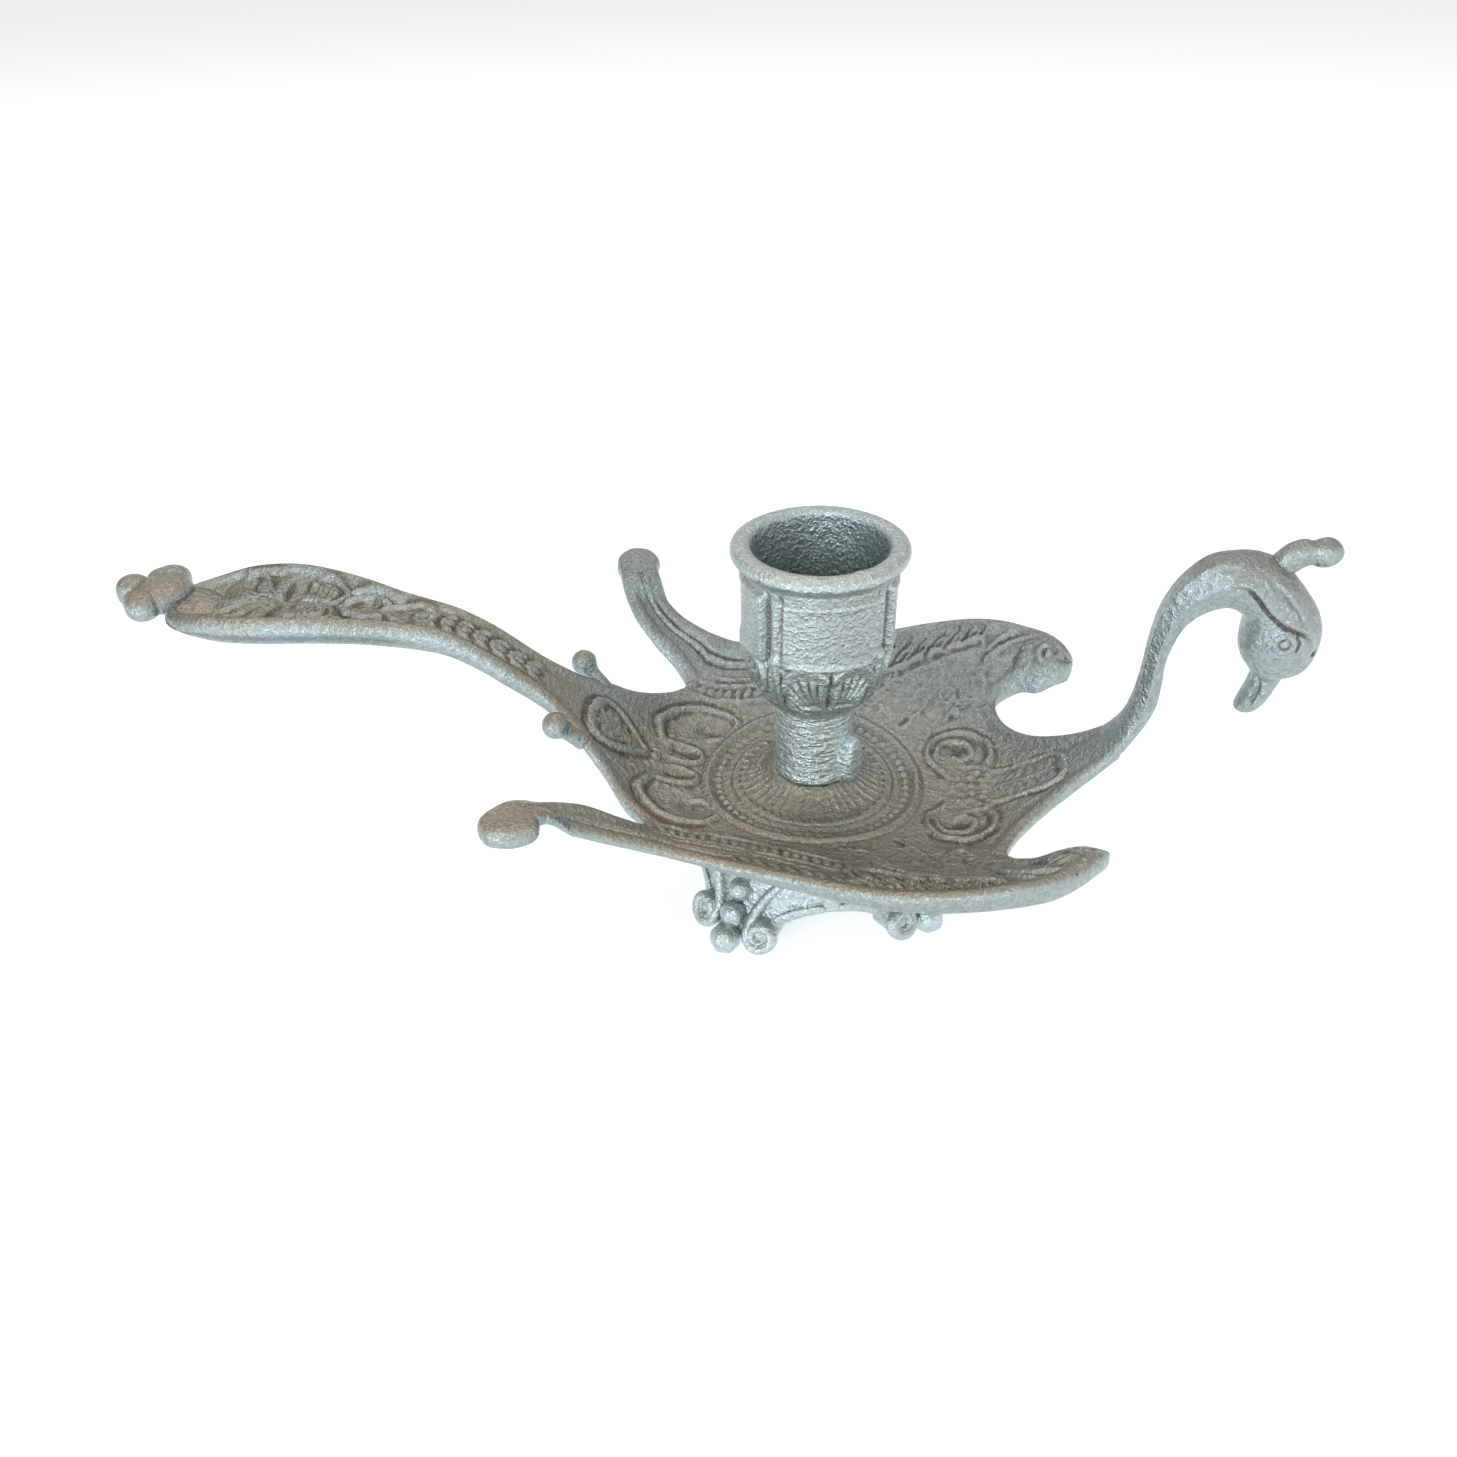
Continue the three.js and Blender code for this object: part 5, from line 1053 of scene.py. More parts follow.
def socket_skin(relief_depth):
    """Socket as a turned skin whose radius also changes round it: panels, leaves, worn lip, filed stem."""
    outline = np.array(SOCKET_OUTLINE, float)
    length = np.r_[0, np.cumsum(np.linalg.norm(np.diff(outline, axis=0), axis=1))]
    fine = np.interp(np.linspace(0, 1, int(length[-1] * SOCKET_ROWS)), np.linspace(0, 1, len(length)), length)
    radius, height = np.interp(fine, length, outline[:, 0]), np.interp(fine, length, outline[:, 1])
    for _ in range(6):
        radius[1:-1] = (radius[:-2] + 2 * radius[1:-1] + radius[2:]) / 4
        height[1:-1] = (height[:-2] + 2 * height[1:-1] + height[2:]) / 4
    radius[[0, -1]] = 0
    columns = SOCKET_COLUMNS
    turn = np.arange(columns) / columns * 2 * math.pi
    quarter = math.pi / 2
    off = np.abs((turn - SOCKET_TURN + quarter / 2) % quarter - quarter / 2)
    round_off = np.broadcast_to(off * CUP_RADIUS, (len(radius), columns))
    z = np.broadcast_to(height[:, None], round_off.shape)
    outside = np.arange(len(radius)) < np.searchsorted(fine, length[LIP_KNOT])
    drawing = Relief(np.stack([round_off.ravel(), z.ravel()], -1))
    draw_panel(drawing)
    leaf = drawing.value().reshape(z.shape) * ((height > 17.9) & (height < 42))[:, None]
    side = 1 - ease(round_off, PANEL_HALF - 0.25, PANEL_HALF + 0.15)
    top = ease(z, PANEL_LOW - 0.3, PANEL_LOW + 0.2) * (1 - ease(z, PANEL_HIGH - 0.2, PANEL_HIGH + 0.3))
    panel = 0.72 * side * top
    to_level = np.minimum(np.abs(z - PANEL_LOW), np.abs(z - PANEL_HIGH))
    to_edge = np.minimum(np.abs(round_off - PANEL_HALF), to_level)
    panel += 0.16 * np.exp(-((to_edge - 0.55) / 0.35) ** 2) * side * top
    beside = np.exp(-(((round_off - PANEL_HALF - 0.5) / 0.35) ** 2))
    groove = -0.3 * beside * ease(z, 29, 30) * (1 - ease(z, 42, 43))
    flat = 0.5 * side * ease(z, 29, 32) * (1 - ease(z, 40, 43)) * ((off / 0.64) ** 2 - 0.35)
    push = (0.65 * leaf * (1 - side * top) + 0.75 * panel + groove) * relief_depth + flat
    plan = np.stack([(12 * turn + 0 * z).ravel(), z.ravel()], -1)
    stem = ((height < STEM_TOP) & outside)[:, None]
    push = push * outside[:, None]
    push = push + np.where(stem, 0.09 * waves(plan * [0.6, 2.4], 0.9, 3.0).reshape(z.shape), 0)
    worn = outside[:, None] & (z > 43)
    push = push + np.where(worn, 0.08 * np.sin(2 * turn + 0.6) + 0.05 * np.sin(5 * turn), 0)
    chip = np.exp(-(((turn + 0.95 + math.pi) % (2 * math.pi) - math.pi) / 0.09) ** 2)
    nick = ((height > 45.6) & ~outside)[:, None]
    push = push - np.where(nick, 0.35 * chip, 0)
    r = np.maximum(radius[:, None] + push, 0) * (radius[:, None] > 0)
    points = np.stack([r * np.cos(turn), r * np.sin(turn), z], -1)
    # Painted shade in the bore, stronger further down, added to the hollow attribute.
    bore = (~outside)[:, None] * ease(46.0 - z, 2, 11)
    hollow = 0.5 * dents(push * outside[:, None], 3) + 0.12 * bore
    return points.reshape(-1, 3), grid_faces(len(radius), columns, around=True), hollow.ravel()


def stem_lug():
    """Flat oval pad on the side of the stem, left from casting."""
    angle = math.radians(-22)
    out = np.array([math.cos(angle), math.sin(angle), 0])
    edge = [(2 + 0.9 * math.cos(t), 1.2 + 0.9 * math.sin(t)) for t in np.linspace(0, 1, 9) * math.pi / 2]
    profile = [(0, -2.4), (3.3, -2.4), *edge, (1, 2.14), (0, 2.16)]
    return revolved(profile, 64, out * 6.5 + [0, 0, 6.2], out, UP, (1.6, 1))


# Stand

# Heights of the stand's top, the floor and the skirt's hem, counted from the tray's level.
STAND_TOP, STAND_FLOOR, SKIRT_HEM = -3.8, -STAND_HEIGHT, -20.6
# Outer radius of the skirt at the top and at the floor, its wall and the thickness of its top.
SKIRT_TOP, SKIRT_FOOT, SKIRT_WALL, TOP_WALL = 19.6, 25.4, 2.2, 2.4
ARCH_HEIGHT, ARCH_HALF = 9.4, 12.4
STAND_TURN = math.radians(60)
# Volutes of a foot: how far beside its middle, radius and height.
VOLUTE_SPREAD, VOLUTE_RADIUS, VOLUTE_HEIGHT = 5.7, 2.7, -18.0
# Drop and ball in the middle of a foot, from below: height, way out from the skirt, radius, half height.
FOOT_DROPS = ((-20.3, 1.9, 2.65, 2.8), (-16.2, 1.2, 2.2, 2.6), (-11.95, 0.4, 2.1, 2.1))


def skirt_radius(z):
    """Outer radius of the skirt: it flares with the power 1.5 of the way down."""
    down = np.clip((STAND_TOP - z) / (STAND_TOP - STAND_FLOOR), 0, 1)
    return SKIRT_TOP + (SKIRT_FOOT - SKIRT_TOP) * down**1.5


def skirt_and_arches():
    """Skirt as a turned skin cut by four arches: at each angle the wall ends at the arch's height there."""
    per_arch, per_foot = 64, 26
    half = math.asin(ARCH_HALF / SKIRT_FOOT)
    in_arch = -half * np.cos(np.linspace(0, math.pi, per_arch + 1))
    in_foot = np.linspace(half, math.pi / 2 - half, per_foot + 1)[1:-1]
    turn = np.concatenate([np.concatenate([in_arch, in_foot]) + k * math.pi / 2 for k in range(4)])
    turn = turn + STAND_TURN + math.pi / 4
    local = (turn - STAND_TURN) % (math.pi / 2) - math.pi / 4
    off = np.abs(np.sin(local)) * SKIRT_FOOT / ARCH_HALF
    low = STAND_FLOOR + np.where(off < 1, ARCH_HEIGHT * np.clip(1 - off**2, 0, 1) ** 0.4, 0)
    low = np.maximum(low, SKIRT_HEM)
    under = STAND_TOP - TOP_WALL
    corner, hem = 0.6, 0.4
    flat = np.zeros(len(turn))
    rows = [(flat + r, flat + STAND_TOP) for r in (0, 10, 16)]
    for t in np.linspace(0, 1, 5) * math.pi / 2:
        drop = corner * (1 - math.cos(t))
        rows.append((flat + SKIRT_TOP - corner + corner * math.sin(t), flat + STAND_TOP - drop))
    start = STAND_TOP - corner
    for t in np.linspace(0, 1, 40)[1:]:
        z = start + (low + hem - start) * t
        rows.append((skirt_radius(z), z))
    for t in np.linspace(0, 1, 7)[1:] * math.pi:
        inward = SKIRT_WALL * (0.5 - 0.5 * math.cos(t))
        rows.append((skirt_radius(low) - inward, low + hem * (1 - math.sin(t))))
    for t in np.linspace(0, 1, 10)[1:]:
        z = low + hem + (under - 0.8 - low - hem) * t
        rows.append((skirt_radius(z) - SKIRT_WALL, z))
    rows += [(flat + r, flat + under) for r in (skirt_radius(under) - SKIRT_WALL - 1, 5, 0)]
    r, z = np.array([a for a, _ in rows]), np.array([b for _, b in rows])
    wave = 0.06 * waves(np.stack([(20 * turn + 0 * r).ravel(), z.ravel()], -1), 0.6, 5.0).reshape(r.shape)
    r = np.where(r > 17, r + wave, r)
    points = np.stack([r * np.cos(turn), r * np.sin(turn), z], -1)
    return points.reshape(-1, 3), grid_faces(*points.shape[:2], around=True)


def carried(line, outward, half_width, half_height, columns=16):
    """Rod with an oval section carried along a line of points; outward gives the section's up direction at
    each point. Its sizes may change along it, and it closes to a point at both ends."""
    way = np.gradient(line, axis=0)
    way /= np.linalg.norm(way, axis=1, keepdims=True)
    up = outward - (outward * way).sum(1, keepdims=True) * way
    up /= np.linalg.norm(up, axis=1, keepdims=True)
    side = np.cross(way, up)
    turn = (np.arange(columns) / columns * 2 * math.pi)[None, :, None]
    a, b = np.asarray(half_width)[:, None, None], np.asarray(half_height)[:, None, None]
    rings = line[:, None] + side[:, None] * (a * np.cos(turn)) + up[:, None] * (b * np.sin(turn))
    caps = [np.repeat(line[:1, None], columns, 1), np.repeat(line[-1:, None], columns, 1)]
    points = np.concatenate([caps[0], rings, caps[1]])
    return points.reshape(-1, 3), grid_faces(*points.shape[:2], around=True)


def on_skirt(sideways, z, out, angle):
    """Places beside the middle of a foot at angle, out from the skirt, and the skirt's outward directions."""
    sideways, z, out = np.broadcast_arrays(*[np.asarray(v, float) for v in (sideways, z, out)])
    r = skirt_radius(z)
    turn = angle + np.arcsin(np.clip(sideways / r, -1, 1))
    place = np.stack([(r + out) * np.cos(turn), (r + out) * np.sin(turn), z], -1)
    return place, np.stack([np.cos(turn), np.sin(turn), 0 * turn], -1)


def volute(side, angle):
    """Rolled end of a strap: a coin with a rounded edge and a small knob, its axis out from the skirt."""
    r = VOLUTE_RADIUS
    quarter = np.linspace(0, 1, 9) * math.pi / 2
    edge = [(r - 0.9 + 0.9 * math.cos(t), 0.7 + 0.9 * math.sin(t)) for t in quarter]
    knob = [(1.3, 1.45), (1.2, 1.6), (0.9, 1.95), (0.4, 2.15), (0, 2.2)]
    place, out = on_skirt(side * VOLUTE_SPREAD, VOLUTE_HEIGHT, 0.0, angle)
    return revolved([(0, -3.4), (r - 0.3, -3.4), (r, -3), *edge, *knob], 48, place, out, UP)


def volute_strap(side, angle):
    """Ridge that comes down the skirt beside the arch and curls to a spiral on the volute's face."""
    s = np.linspace(0, 1, 60)
    curl = math.pi + 3.5 * math.pi * s
    size = (VOLUTE_RADIUS - 0.35) * (1 - 0.62 * s)
    spiral = np.stack([VOLUTE_SPREAD + size * np.cos(curl), VOLUTE_HEIGHT + size * np.sin(curl)], -1)
    down = [(8.6, -6), (7.2, -8.4), (5.6, -10.8), (4.3, -13.6), (3.45, -16.4), spiral[0]]
    line = np.concatenate([curve_at(down, np.linspace(0, 5, 36))[:-1], spiral])
    along = np.linspace(0, 1, len(line))
    place, up = on_skirt(side * line[:, 0], line[:, 1], 0.2 + 1.2 * ease(along, 0.25, 0.45), angle)
    width = (0.75 + 0.35 * ease(along, 0.05, 0.3)) * (1 - 0.5 * ease(along, 0.5, 1))
    width[[0, -1]] = 0.2
    return carried(place, up, width, width * 1.15)


def arch_moulding(side, angle):
    """Fine moulding along the edge of the arch, from the foot to the arch's middle."""
    t = np.linspace(0.06, 0.47, 34) * math.pi
    height = STAND_FLOOR + ARCH_HEIGHT * np.sin(t) ** 0.8 + 0.9
    line, up = on_skirt(-side * (ARCH_HALF - 0.3) * np.cos(t), height, 0.05, angle + side * math.pi / 4)
    width, thickness = np.full(34, 0.9), np.full(34, 0.35)
    width[[0, -1]] = thickness[[0, -1]] = 0.2
    return carried(line, up, width, thickness)


def foot_drops(angle):
    """Drops in the middle of a foot with shallow leaves round them, and the plain ball on top."""

    def leaves(turn, share):
        """Six shallow leaves, deepest halfway up."""
        return 0.14 * np.cos(6 * turn) * np.sin(share * math.pi)

    parts = []
    for z, out_by, radius, half_height in FOOT_DROPS:
        place, out = on_skirt(0.0, z, out_by, angle)
        profile = ball_profile(radius, half_height, 29, 0.95)
        parts.append(revolved(profile, 44, place, UP, out, shape=leaves if z < -14 else None))
    return parts


def foot_sprig(side, angle):
    """Short sprig that bends outward above the ball of a foot."""
    t = np.linspace(0, 1, 24)
    line, up = on_skirt(side * (0.4 + 2.3 * t**1.5), -9.4 + 2.6 * t, 0.15, angle)
    swell = 0.5 * np.sin(t * math.pi)
    return carried(line, up, 0.25 + swell, 0.2 + swell)


def scroll_feet():
    """Four feet. Each has two rolled volutes, straps that run from them up the skirt beside the arches, a
    long drop and a ball between them, and two short sprigs above."""
    parts = []
    for k in range(4):
        angle = STAND_TURN + k * math.pi / 2
        for side in (-1, 1):
            parts += [volute(side, angle), volute_strap(side, angle), arch_moulding(side, angle)]
        parts += foot_drops(angle)
        for side in (-1, 1):
            parts.append(foot_sprig(side, angle))
    points, faces = put_together(parts)
    points[:, 2] = np.maximum(points[:, 2], STAND_FLOOR)
    return points, faces


# Metal


# Tones as linear colours. The tints multiply the tone of flat or of upright metal, and those tones are
# painted reflection.
# Cooler painted reflection on the flat faces of the far side and the front end.
FAR_REFLECTION_TINT = (0.77, 0.95, 1.16)
# Painted shade in the hollows and in the bore.
HOLLOW_SHADE_TINT = (0.3, 0.26, 0.22)
WORN_TINT = (1.2, 1.2, 1.2)
PIT_COLOUR = (0.03, 0.028, 0.026, 1.0)
STEM_TONE = (0.66, 0.76, 0.77)
# Upright and flat tones of the stand are painted reflection: bright and cool upright, dull and grey flat.
STAND_UPRIGHT_REFLECTION, STAND_FLAT_REFLECTION = (0.55, 0.64, 0.66), (0.4, 0.42, 0.4)
STEEL_TONE = (0.3, 0.3, 0.31)
# Scales of the skin's textures: lumps, patches of tone, and file strokes along the three axes.
LUMP_SCALE, PATCH_SCALE, STROKE_SCALES = 950.0, 38.0, (420.0, 420.0, 1500.0)


def node(tree, kind, place, **values):
    """New node of a tree at a place, with some of its properties."""
    made = tree.nodes.new(kind)
    made.location = place
    for key, value in values.items():
        setattr(made, key, value)
    return made


def feed(tree, value, target):
    """Puts a number or colour into an input, or links an output to it."""
    if isinstance(value, (int, float, tuple)):
        target.default_value = value
    else:
        tree.links.new(value, target)


def noise(tree, vector, scale, detail, rough, place):
    """Noise texture; scale is a number or an output."""
    made = node(tree, "ShaderNodeTexNoise", place)
    made.inputs["Detail"].default_value = detail
    made.inputs["Roughness"].default_value = rough
    feed(tree, scale, made.inputs["Scale"])
    feed(tree, vector, made.inputs["Vector"])
    return made.outputs["Fac"]


def sums(tree, operation, a, b, place, clamp=False):
    """Sum, product or other operation of two numbers or outputs."""
    made = node(tree, "ShaderNodeMath", place, operation=operation, use_clamp=clamp)
    feed(tree, a, made.inputs[0])
    feed(tree, b, made.inputs[1])
    return made.outputs[0]


def spread(tree, value, low, high, out_low, out_high, place):
    """Smooth step of an output: out_low at low, out_high at high."""
    made = node(tree, "ShaderNodeMapRange", place)
    made.interpolation_type = "SMOOTHSTEP"
    tree.links.new(value, made.inputs["Value"])
    for key, number in (("From Min", low), ("From Max", high), ("To Min", out_low), ("To Max", out_high)):
        made.inputs[key].default_value = number
    return made.outputs["Result"]


def blend(tree, factor, a, b, place, how="MIX"):
    """Mix of two colours by a factor. The colour inputs of the mix node are 6 and 7, its output is 2."""
    made = node(tree, "ShaderNodeMix", place, data_type="RGBA", blend_type=how)
    for key, value in ((0, factor), (6, a), (7, b)):
        feed(tree, value, made.inputs[key])
    return made.outputs[2]


def cast_surface_group():
    """Skin of a sand casting: coarse grain for the bump, sparse pits, slow patches of tone, file strokes, and
    masks for painted reflection: how far the surface faces up, and how near it is to the far side, away
    from the camera, whose flat faces take a cooler painted reflection. All values come from places on the
    piece."""
    tree = bpy.data.node_groups.new("Cast skin", "ShaderNodeTree")
    inputs = (("Grain size", 900.0, 50.0, 5000.0), ("Pit spacing", 260.0, 10.0, 900.0))
    for name, usual, low, high in inputs:
        item = tree.interface.new_socket(name=name, in_out="INPUT", socket_type="NodeSocketFloat")
        item.default_value, item.min_value, item.max_value = usual, low, high
    for name in ("Height", "Pits", "Patches", "Flat reflection share", "Streaks", "Far side reflection"):
        tree.interface.new_socket(name=name, in_out="OUTPUT", socket_type="NodeSocketFloat")
    start = node(tree, "NodeGroupInput", (-900, 0))
    end = node(tree, "NodeGroupOutput", (700, 0))
    place = node(tree, "ShaderNodeTexCoord", (-900, -300))
    vector = place.outputs["Object"]
    coarse = noise(tree, vector, start.outputs["Grain size"], 3.0, 0.6, (-500, 200))
    lumps = noise(tree, vector, LUMP_SCALE, 3.0, 0.6, (-500, 0))
    cells = node(tree, "ShaderNodeTexVoronoi", (-500, -250))
    tree.links.new(vector, cells.inputs["Vector"])
    tree.links.new(start.outputs["Pit spacing"], cells.inputs["Scale"])
    chance = node(tree, "ShaderNodeSeparateColor", (-300, -420))
    tree.links.new(cells.outputs["Color"], chance.inputs[0])
    rare = spread(tree, chance.outputs[0], 0.93, 0.95, 0.0, 1.0, (-100, -420))
    near = spread(tree, cells.outputs["Distance"], 0.04, 0.11, 1.0, 0.0, (-100, -250))
    pits = sums(tree, "MULTIPLY", rare, near, (100, -300))
    height = sums(tree, "ADD", coarse, lumps, (-100, 150))
    height = sums(tree, "SUBTRACT", height, sums(tree, "MULTIPLY", pits, 1.5, (250, -200)), (300, 100))
    patches = noise(tree, vector, PATCH_SCALE, 4.0, 0.6, (-500, -650))
    long_way = node(tree, "ShaderNodeMapping", (-700, -850))
    long_way.inputs["Scale"].default_value = STROKE_SCALES
    tree.links.new(vector, long_way.inputs["Vector"])
    streaks = noise(tree, long_way.outputs[0], 1.0, 3.0, 0.6, (-500, -850))
    # Painted reflection: how far the face looks up picks the flat or the upright tone.
    direction = node(tree, "ShaderNodeSeparateXYZ", (-700, -1050))
    tree.links.new(place.outputs["Normal"], direction.inputs[0])
    facing = spread(tree, direction.outputs[2], 0.1, 0.95, 0.0, 1.0, (-300, -1050))
    # Painted reflection by place: the far side and the front end give flat faces a cooler tint.
    where = node(tree, "ShaderNodeSeparateXYZ", (-700, -1250))
    tree.links.new(vector, where.inputs[0])
    far_side = spread(tree, where.outputs[1], -0.022, 0.042, 0.0, 1.0, (-500, -1250))
    front_end = spread(tree, where.outputs[0], 0.03, 0.08, 0.0, 0.5, (-500, -1400))
    cool = sums(tree, "ADD", far_side, front_end, (-300, -1250), True)
    # The far horn looks pale, so its top takes most of the painted reflection tone of upright metal
    beyond = spread(tree, where.outputs[1], 0.026, 0.036, 0.0, 0.8, (-500, -1550))
    behind = spread(tree, where.outputs[0], -0.03, -0.036, 0.0, 1.0, (-500, -1700))
    horn = sums(tree, "MULTIPLY", beyond, behind, (-300, -1550))
    facing = sums(tree, "MULTIPLY", facing, sums(tree, "SUBTRACT", 1.0, horn, (-100, -1400)), (100, -1200))
    results = {
        "Height": height, "Pits": pits, "Patches": patches, "Flat reflection share": facing, "Streaks": streaks,
        "Far side reflection": cool,
    }
    for name, value in results.items():
        tree.links.new(value, end.inputs[name])
    return tree


def colour(values, tint=(1, 1, 1)):
    """Opaque colour, times a tint."""
    return (*[min(1.0, value * share) for value, share in zip(values, tint)], 1.0)


def cast_metal(name, group, side, top, settings, filed=False, grain=1600.0):
    """Light grey cast metal whose tones are painted reflection: cool and bright where it stands upright,
    warmer and duller where it lies flat. Painted shade darkens the hollows and the bore; pits are dark, worn
    ridges brighter. The grain is real bump; gloss follows the grain."""
    material = bpy.data.materials.new(name)
    material.use_nodes = True
    tree = material.node_tree
    tree.nodes.clear()
    output = node(tree, "ShaderNodeOutputMaterial", (900, 0))
    shader = node(tree, "ShaderNodeBsdfPrincipled", (600, 0))
    shader.inputs["Metallic"].default_value = settings.metallic
    tree.links.new(shader.outputs[0], output.inputs["Surface"])
    skin = node(tree, "ShaderNodeGroup", (-700, 0))
    skin.node_tree = group
    skin.inputs["Grain size"].default_value = grain
    field = node(tree, "ShaderNodeAttribute", (-700, -400), attribute_name="hollow")
    # Painted shade: mask of the hollows and the bore from the hollow attribute.
    dark = spread(tree, field.outputs["Fac"], 0.015, 0.22, 0.0, 1.0, (-450, -350))
    worn = spread(tree, field.outputs["Fac"], -0.03, -0.22, 0.0, 1.0, (-450, -550))
    # Painted reflection: flat faces take the dull warm tone, upright faces the bright cool one; patches vary
    # the share at random.
    patches = spread(tree, skin.outputs["Patches"], 0.36, 0.64, -0.16, 0.16, (-450, 150))
    up = sums(tree, "ADD", skin.outputs["Flat reflection share"], patches, (-250, 100), True)
    flat_painted_mix = blend(tree, skin.outputs["Far side reflection"], colour(top), colour(top, FAR_REFLECTION_TINT), (-250, 500))
    tone = blend(tree, up, colour(side), flat_painted_mix, (-50, 200))
    shade = spread(tree, skin.outputs["Height"], 0.7, 1.3, 0.88, 1.12, (-450, 350))
    grey = node(tree, "ShaderNodeCombineColor", (-250, 350))
    for k in range(3):
        tree.links.new(shade, grey.inputs[k])
    tone = blend(tree, 1.0, tone, grey.outputs[0], (100, 300), "MULTIPLY")
    dark = sums(tree, "MULTIPLY", dark, settings.hollow_shade_strength, (-250, -350))
    # Painted shade: hollows and the bore darken towards the hollow tint.
    tone = blend(tree, dark, tone, colour(top, HOLLOW_SHADE_TINT), (250, 200))
    worn = sums(tree, "MULTIPLY", worn, 0.2, (-250, -550))
    tone = blend(tree, worn, tone, colour(side, WORN_TINT), (400, 200))
    tone = blend(tree, skin.outputs["Pits"], tone, PIT_COLOUR, (500, 300))
    tree.links.new(tone, shader.inputs["Base Color"])
    dull, glossy = settings.roughness + 0.12, settings.roughness - 0.12
    rough = spread(tree, skin.outputs["Height"], 0.75, 1.25, dull, glossy, (100, -150))
    tree.links.new(rough, shader.inputs["Roughness"])
    height = skin.outputs["Height"]
    if filed:
        streaks = sums(tree, "MULTIPLY", skin.outputs["Streaks"], 2.2, (-100, -700))
        height = sums(tree, "ADD", height, streaks, (100, -600))
    bump = node(tree, "ShaderNodeBump", (350, -400))
    bump.inputs["Strength"].default_value = 1.0
    bump.inputs["Distance"].default_value = settings.grain_depth * (1.2 if filed else 1.0)
    tree.links.new(height, bump.inputs["Height"])
    tree.links.new(bump.outputs[0], shader.inputs["Normal"])
    return material


def metals(context):
    """The five metals, made once and kept by name."""
    settings = context.scene.candlestick_finish
    if "Cast skin" not in bpy.data.node_groups:
        group = cast_surface_group()
        cast_metal("Cast tray metal", group, settings.upright_reflection_tone, settings.flat_reflection_tone, settings)
        cast_metal("Cast socket metal", group, settings.cup_reflection_tone, settings.lip_reflection_tone, settings, grain=1800.0)
        cast_metal("Filed stem metal", group, STEM_TONE, STEM_TONE, settings, filed=True, grain=1100.0)
        cast_metal("Cast stand metal", group, STAND_UPRIGHT_REFLECTION, STAND_FLAT_REFLECTION, settings)
        cast_metal("Screw steel", group, STEEL_TONE, STEEL_TONE, settings)
    return bpy.data.materials


# Stage

# Camera found from the photograph: focal length in pixels of a 1457 pixel frame, place in millimetres from
# the stem, and the angles of its direction.
FOCAL_PIXELS = 1150.0
FRAME_PIXELS = 1457.0
CAMERA_PLACE = (9.87517727, -165.784657, 128.571501)
CAMERA_PITCH, CAMERA_YAW, CAMERA_ROLL = 0.618847627, -0.150285849, -0.01761540
SENSOR_WIDTH = 36.0
# Lamps: name, place and size in metres, power in watts, tint. They aim at this height over the floor.
LIGHT_AIM = 0.03
LAMPS = (
    ("Front window", (-0.55, -1.5, 0.75), (1.2, 0.9), 16.5, (0.86, 0.96, 1.0)),
    ("Side fill", (1.5, -0.5, 0.7), (1.2, 1.2), 5.0, (1.0, 0.96, 0.9)),
    ("Top sheet", (-0.2, 0.5, 1.5), (1.2, 1.2), 7.5, (1.0, 0.94, 0.87)),
)
FLOOR_HALF = 4.0
PAPER_COLOUR, FLOOR_GLOW = (0.86, 0.86, 0.86, 1.0), 0.62
ROOM_COLOUR, ROOM_STRENGTH = (0.9, 0.95, 1.0, 1.0), 0.25


def camera_matrix():
    """World matrix of the camera: columns right, up, backwards and place."""
    pitch, yaw, roll = CAMERA_PITCH, CAMERA_YAW, CAMERA_ROLL
    forward = np.array([math.sin(yaw) * math.cos(pitch), math.cos(yaw) * math.cos(pitch), -math.sin(pitch)])
    level = np.array([math.cos(yaw), -math.sin(yaw), 0.0])
    steep = np.cross(level, forward)
    right = math.cos(roll) * level + math.sin(roll) * steep
    up = -math.sin(roll) * level + math.cos(roll) * steep
    matrix = np.eye(4)
    matrix[:3, 0], matrix[:3, 1], matrix[:3, 2] = right, up, -forward
    matrix[:3, 3] = np.array(CAMERA_PLACE) * MM + [STEM_X, STEM_Y, STAND_HEIGHT * MM]
    return Matrix(matrix.tolist())


def area_light(name, place, size, power, tint):
    """Rectangular lamp turned to a point above the stem's foot."""
    data = bpy.data.lights.new(name, "AREA")
    data.shape = "RECTANGLE"
    data.size, data.size_y = size
    data.energy = power
    data.color = tint
    lamp = bpy.data.objects.new(name, data)
    lamp.location = place
    toward = Vector((STEM_X, STEM_Y, LIGHT_AIM)) - Vector(place)
    lamp.rotation_euler = toward.to_track_quat("-Z", "Y").to_euler()
    bpy.context.scene.collection.objects.link(lamp)


def seen_directly(tree, place):
    """1 for camera, mirror and glass rays, 0 for light on the object."""
    x, y = place
    path = node(tree, "ShaderNodeLightPath", (x - 400, y + 300))
    camera, glossy = path.outputs["Is Camera Ray"], path.outputs["Is Glossy Ray"]
    seen = sums(tree, "ADD", camera, glossy, (x - 200, y + 200), True)
    return sums(tree, "ADD", seen, path.outputs["Is Transmission Ray"], (x, y + 200), True)


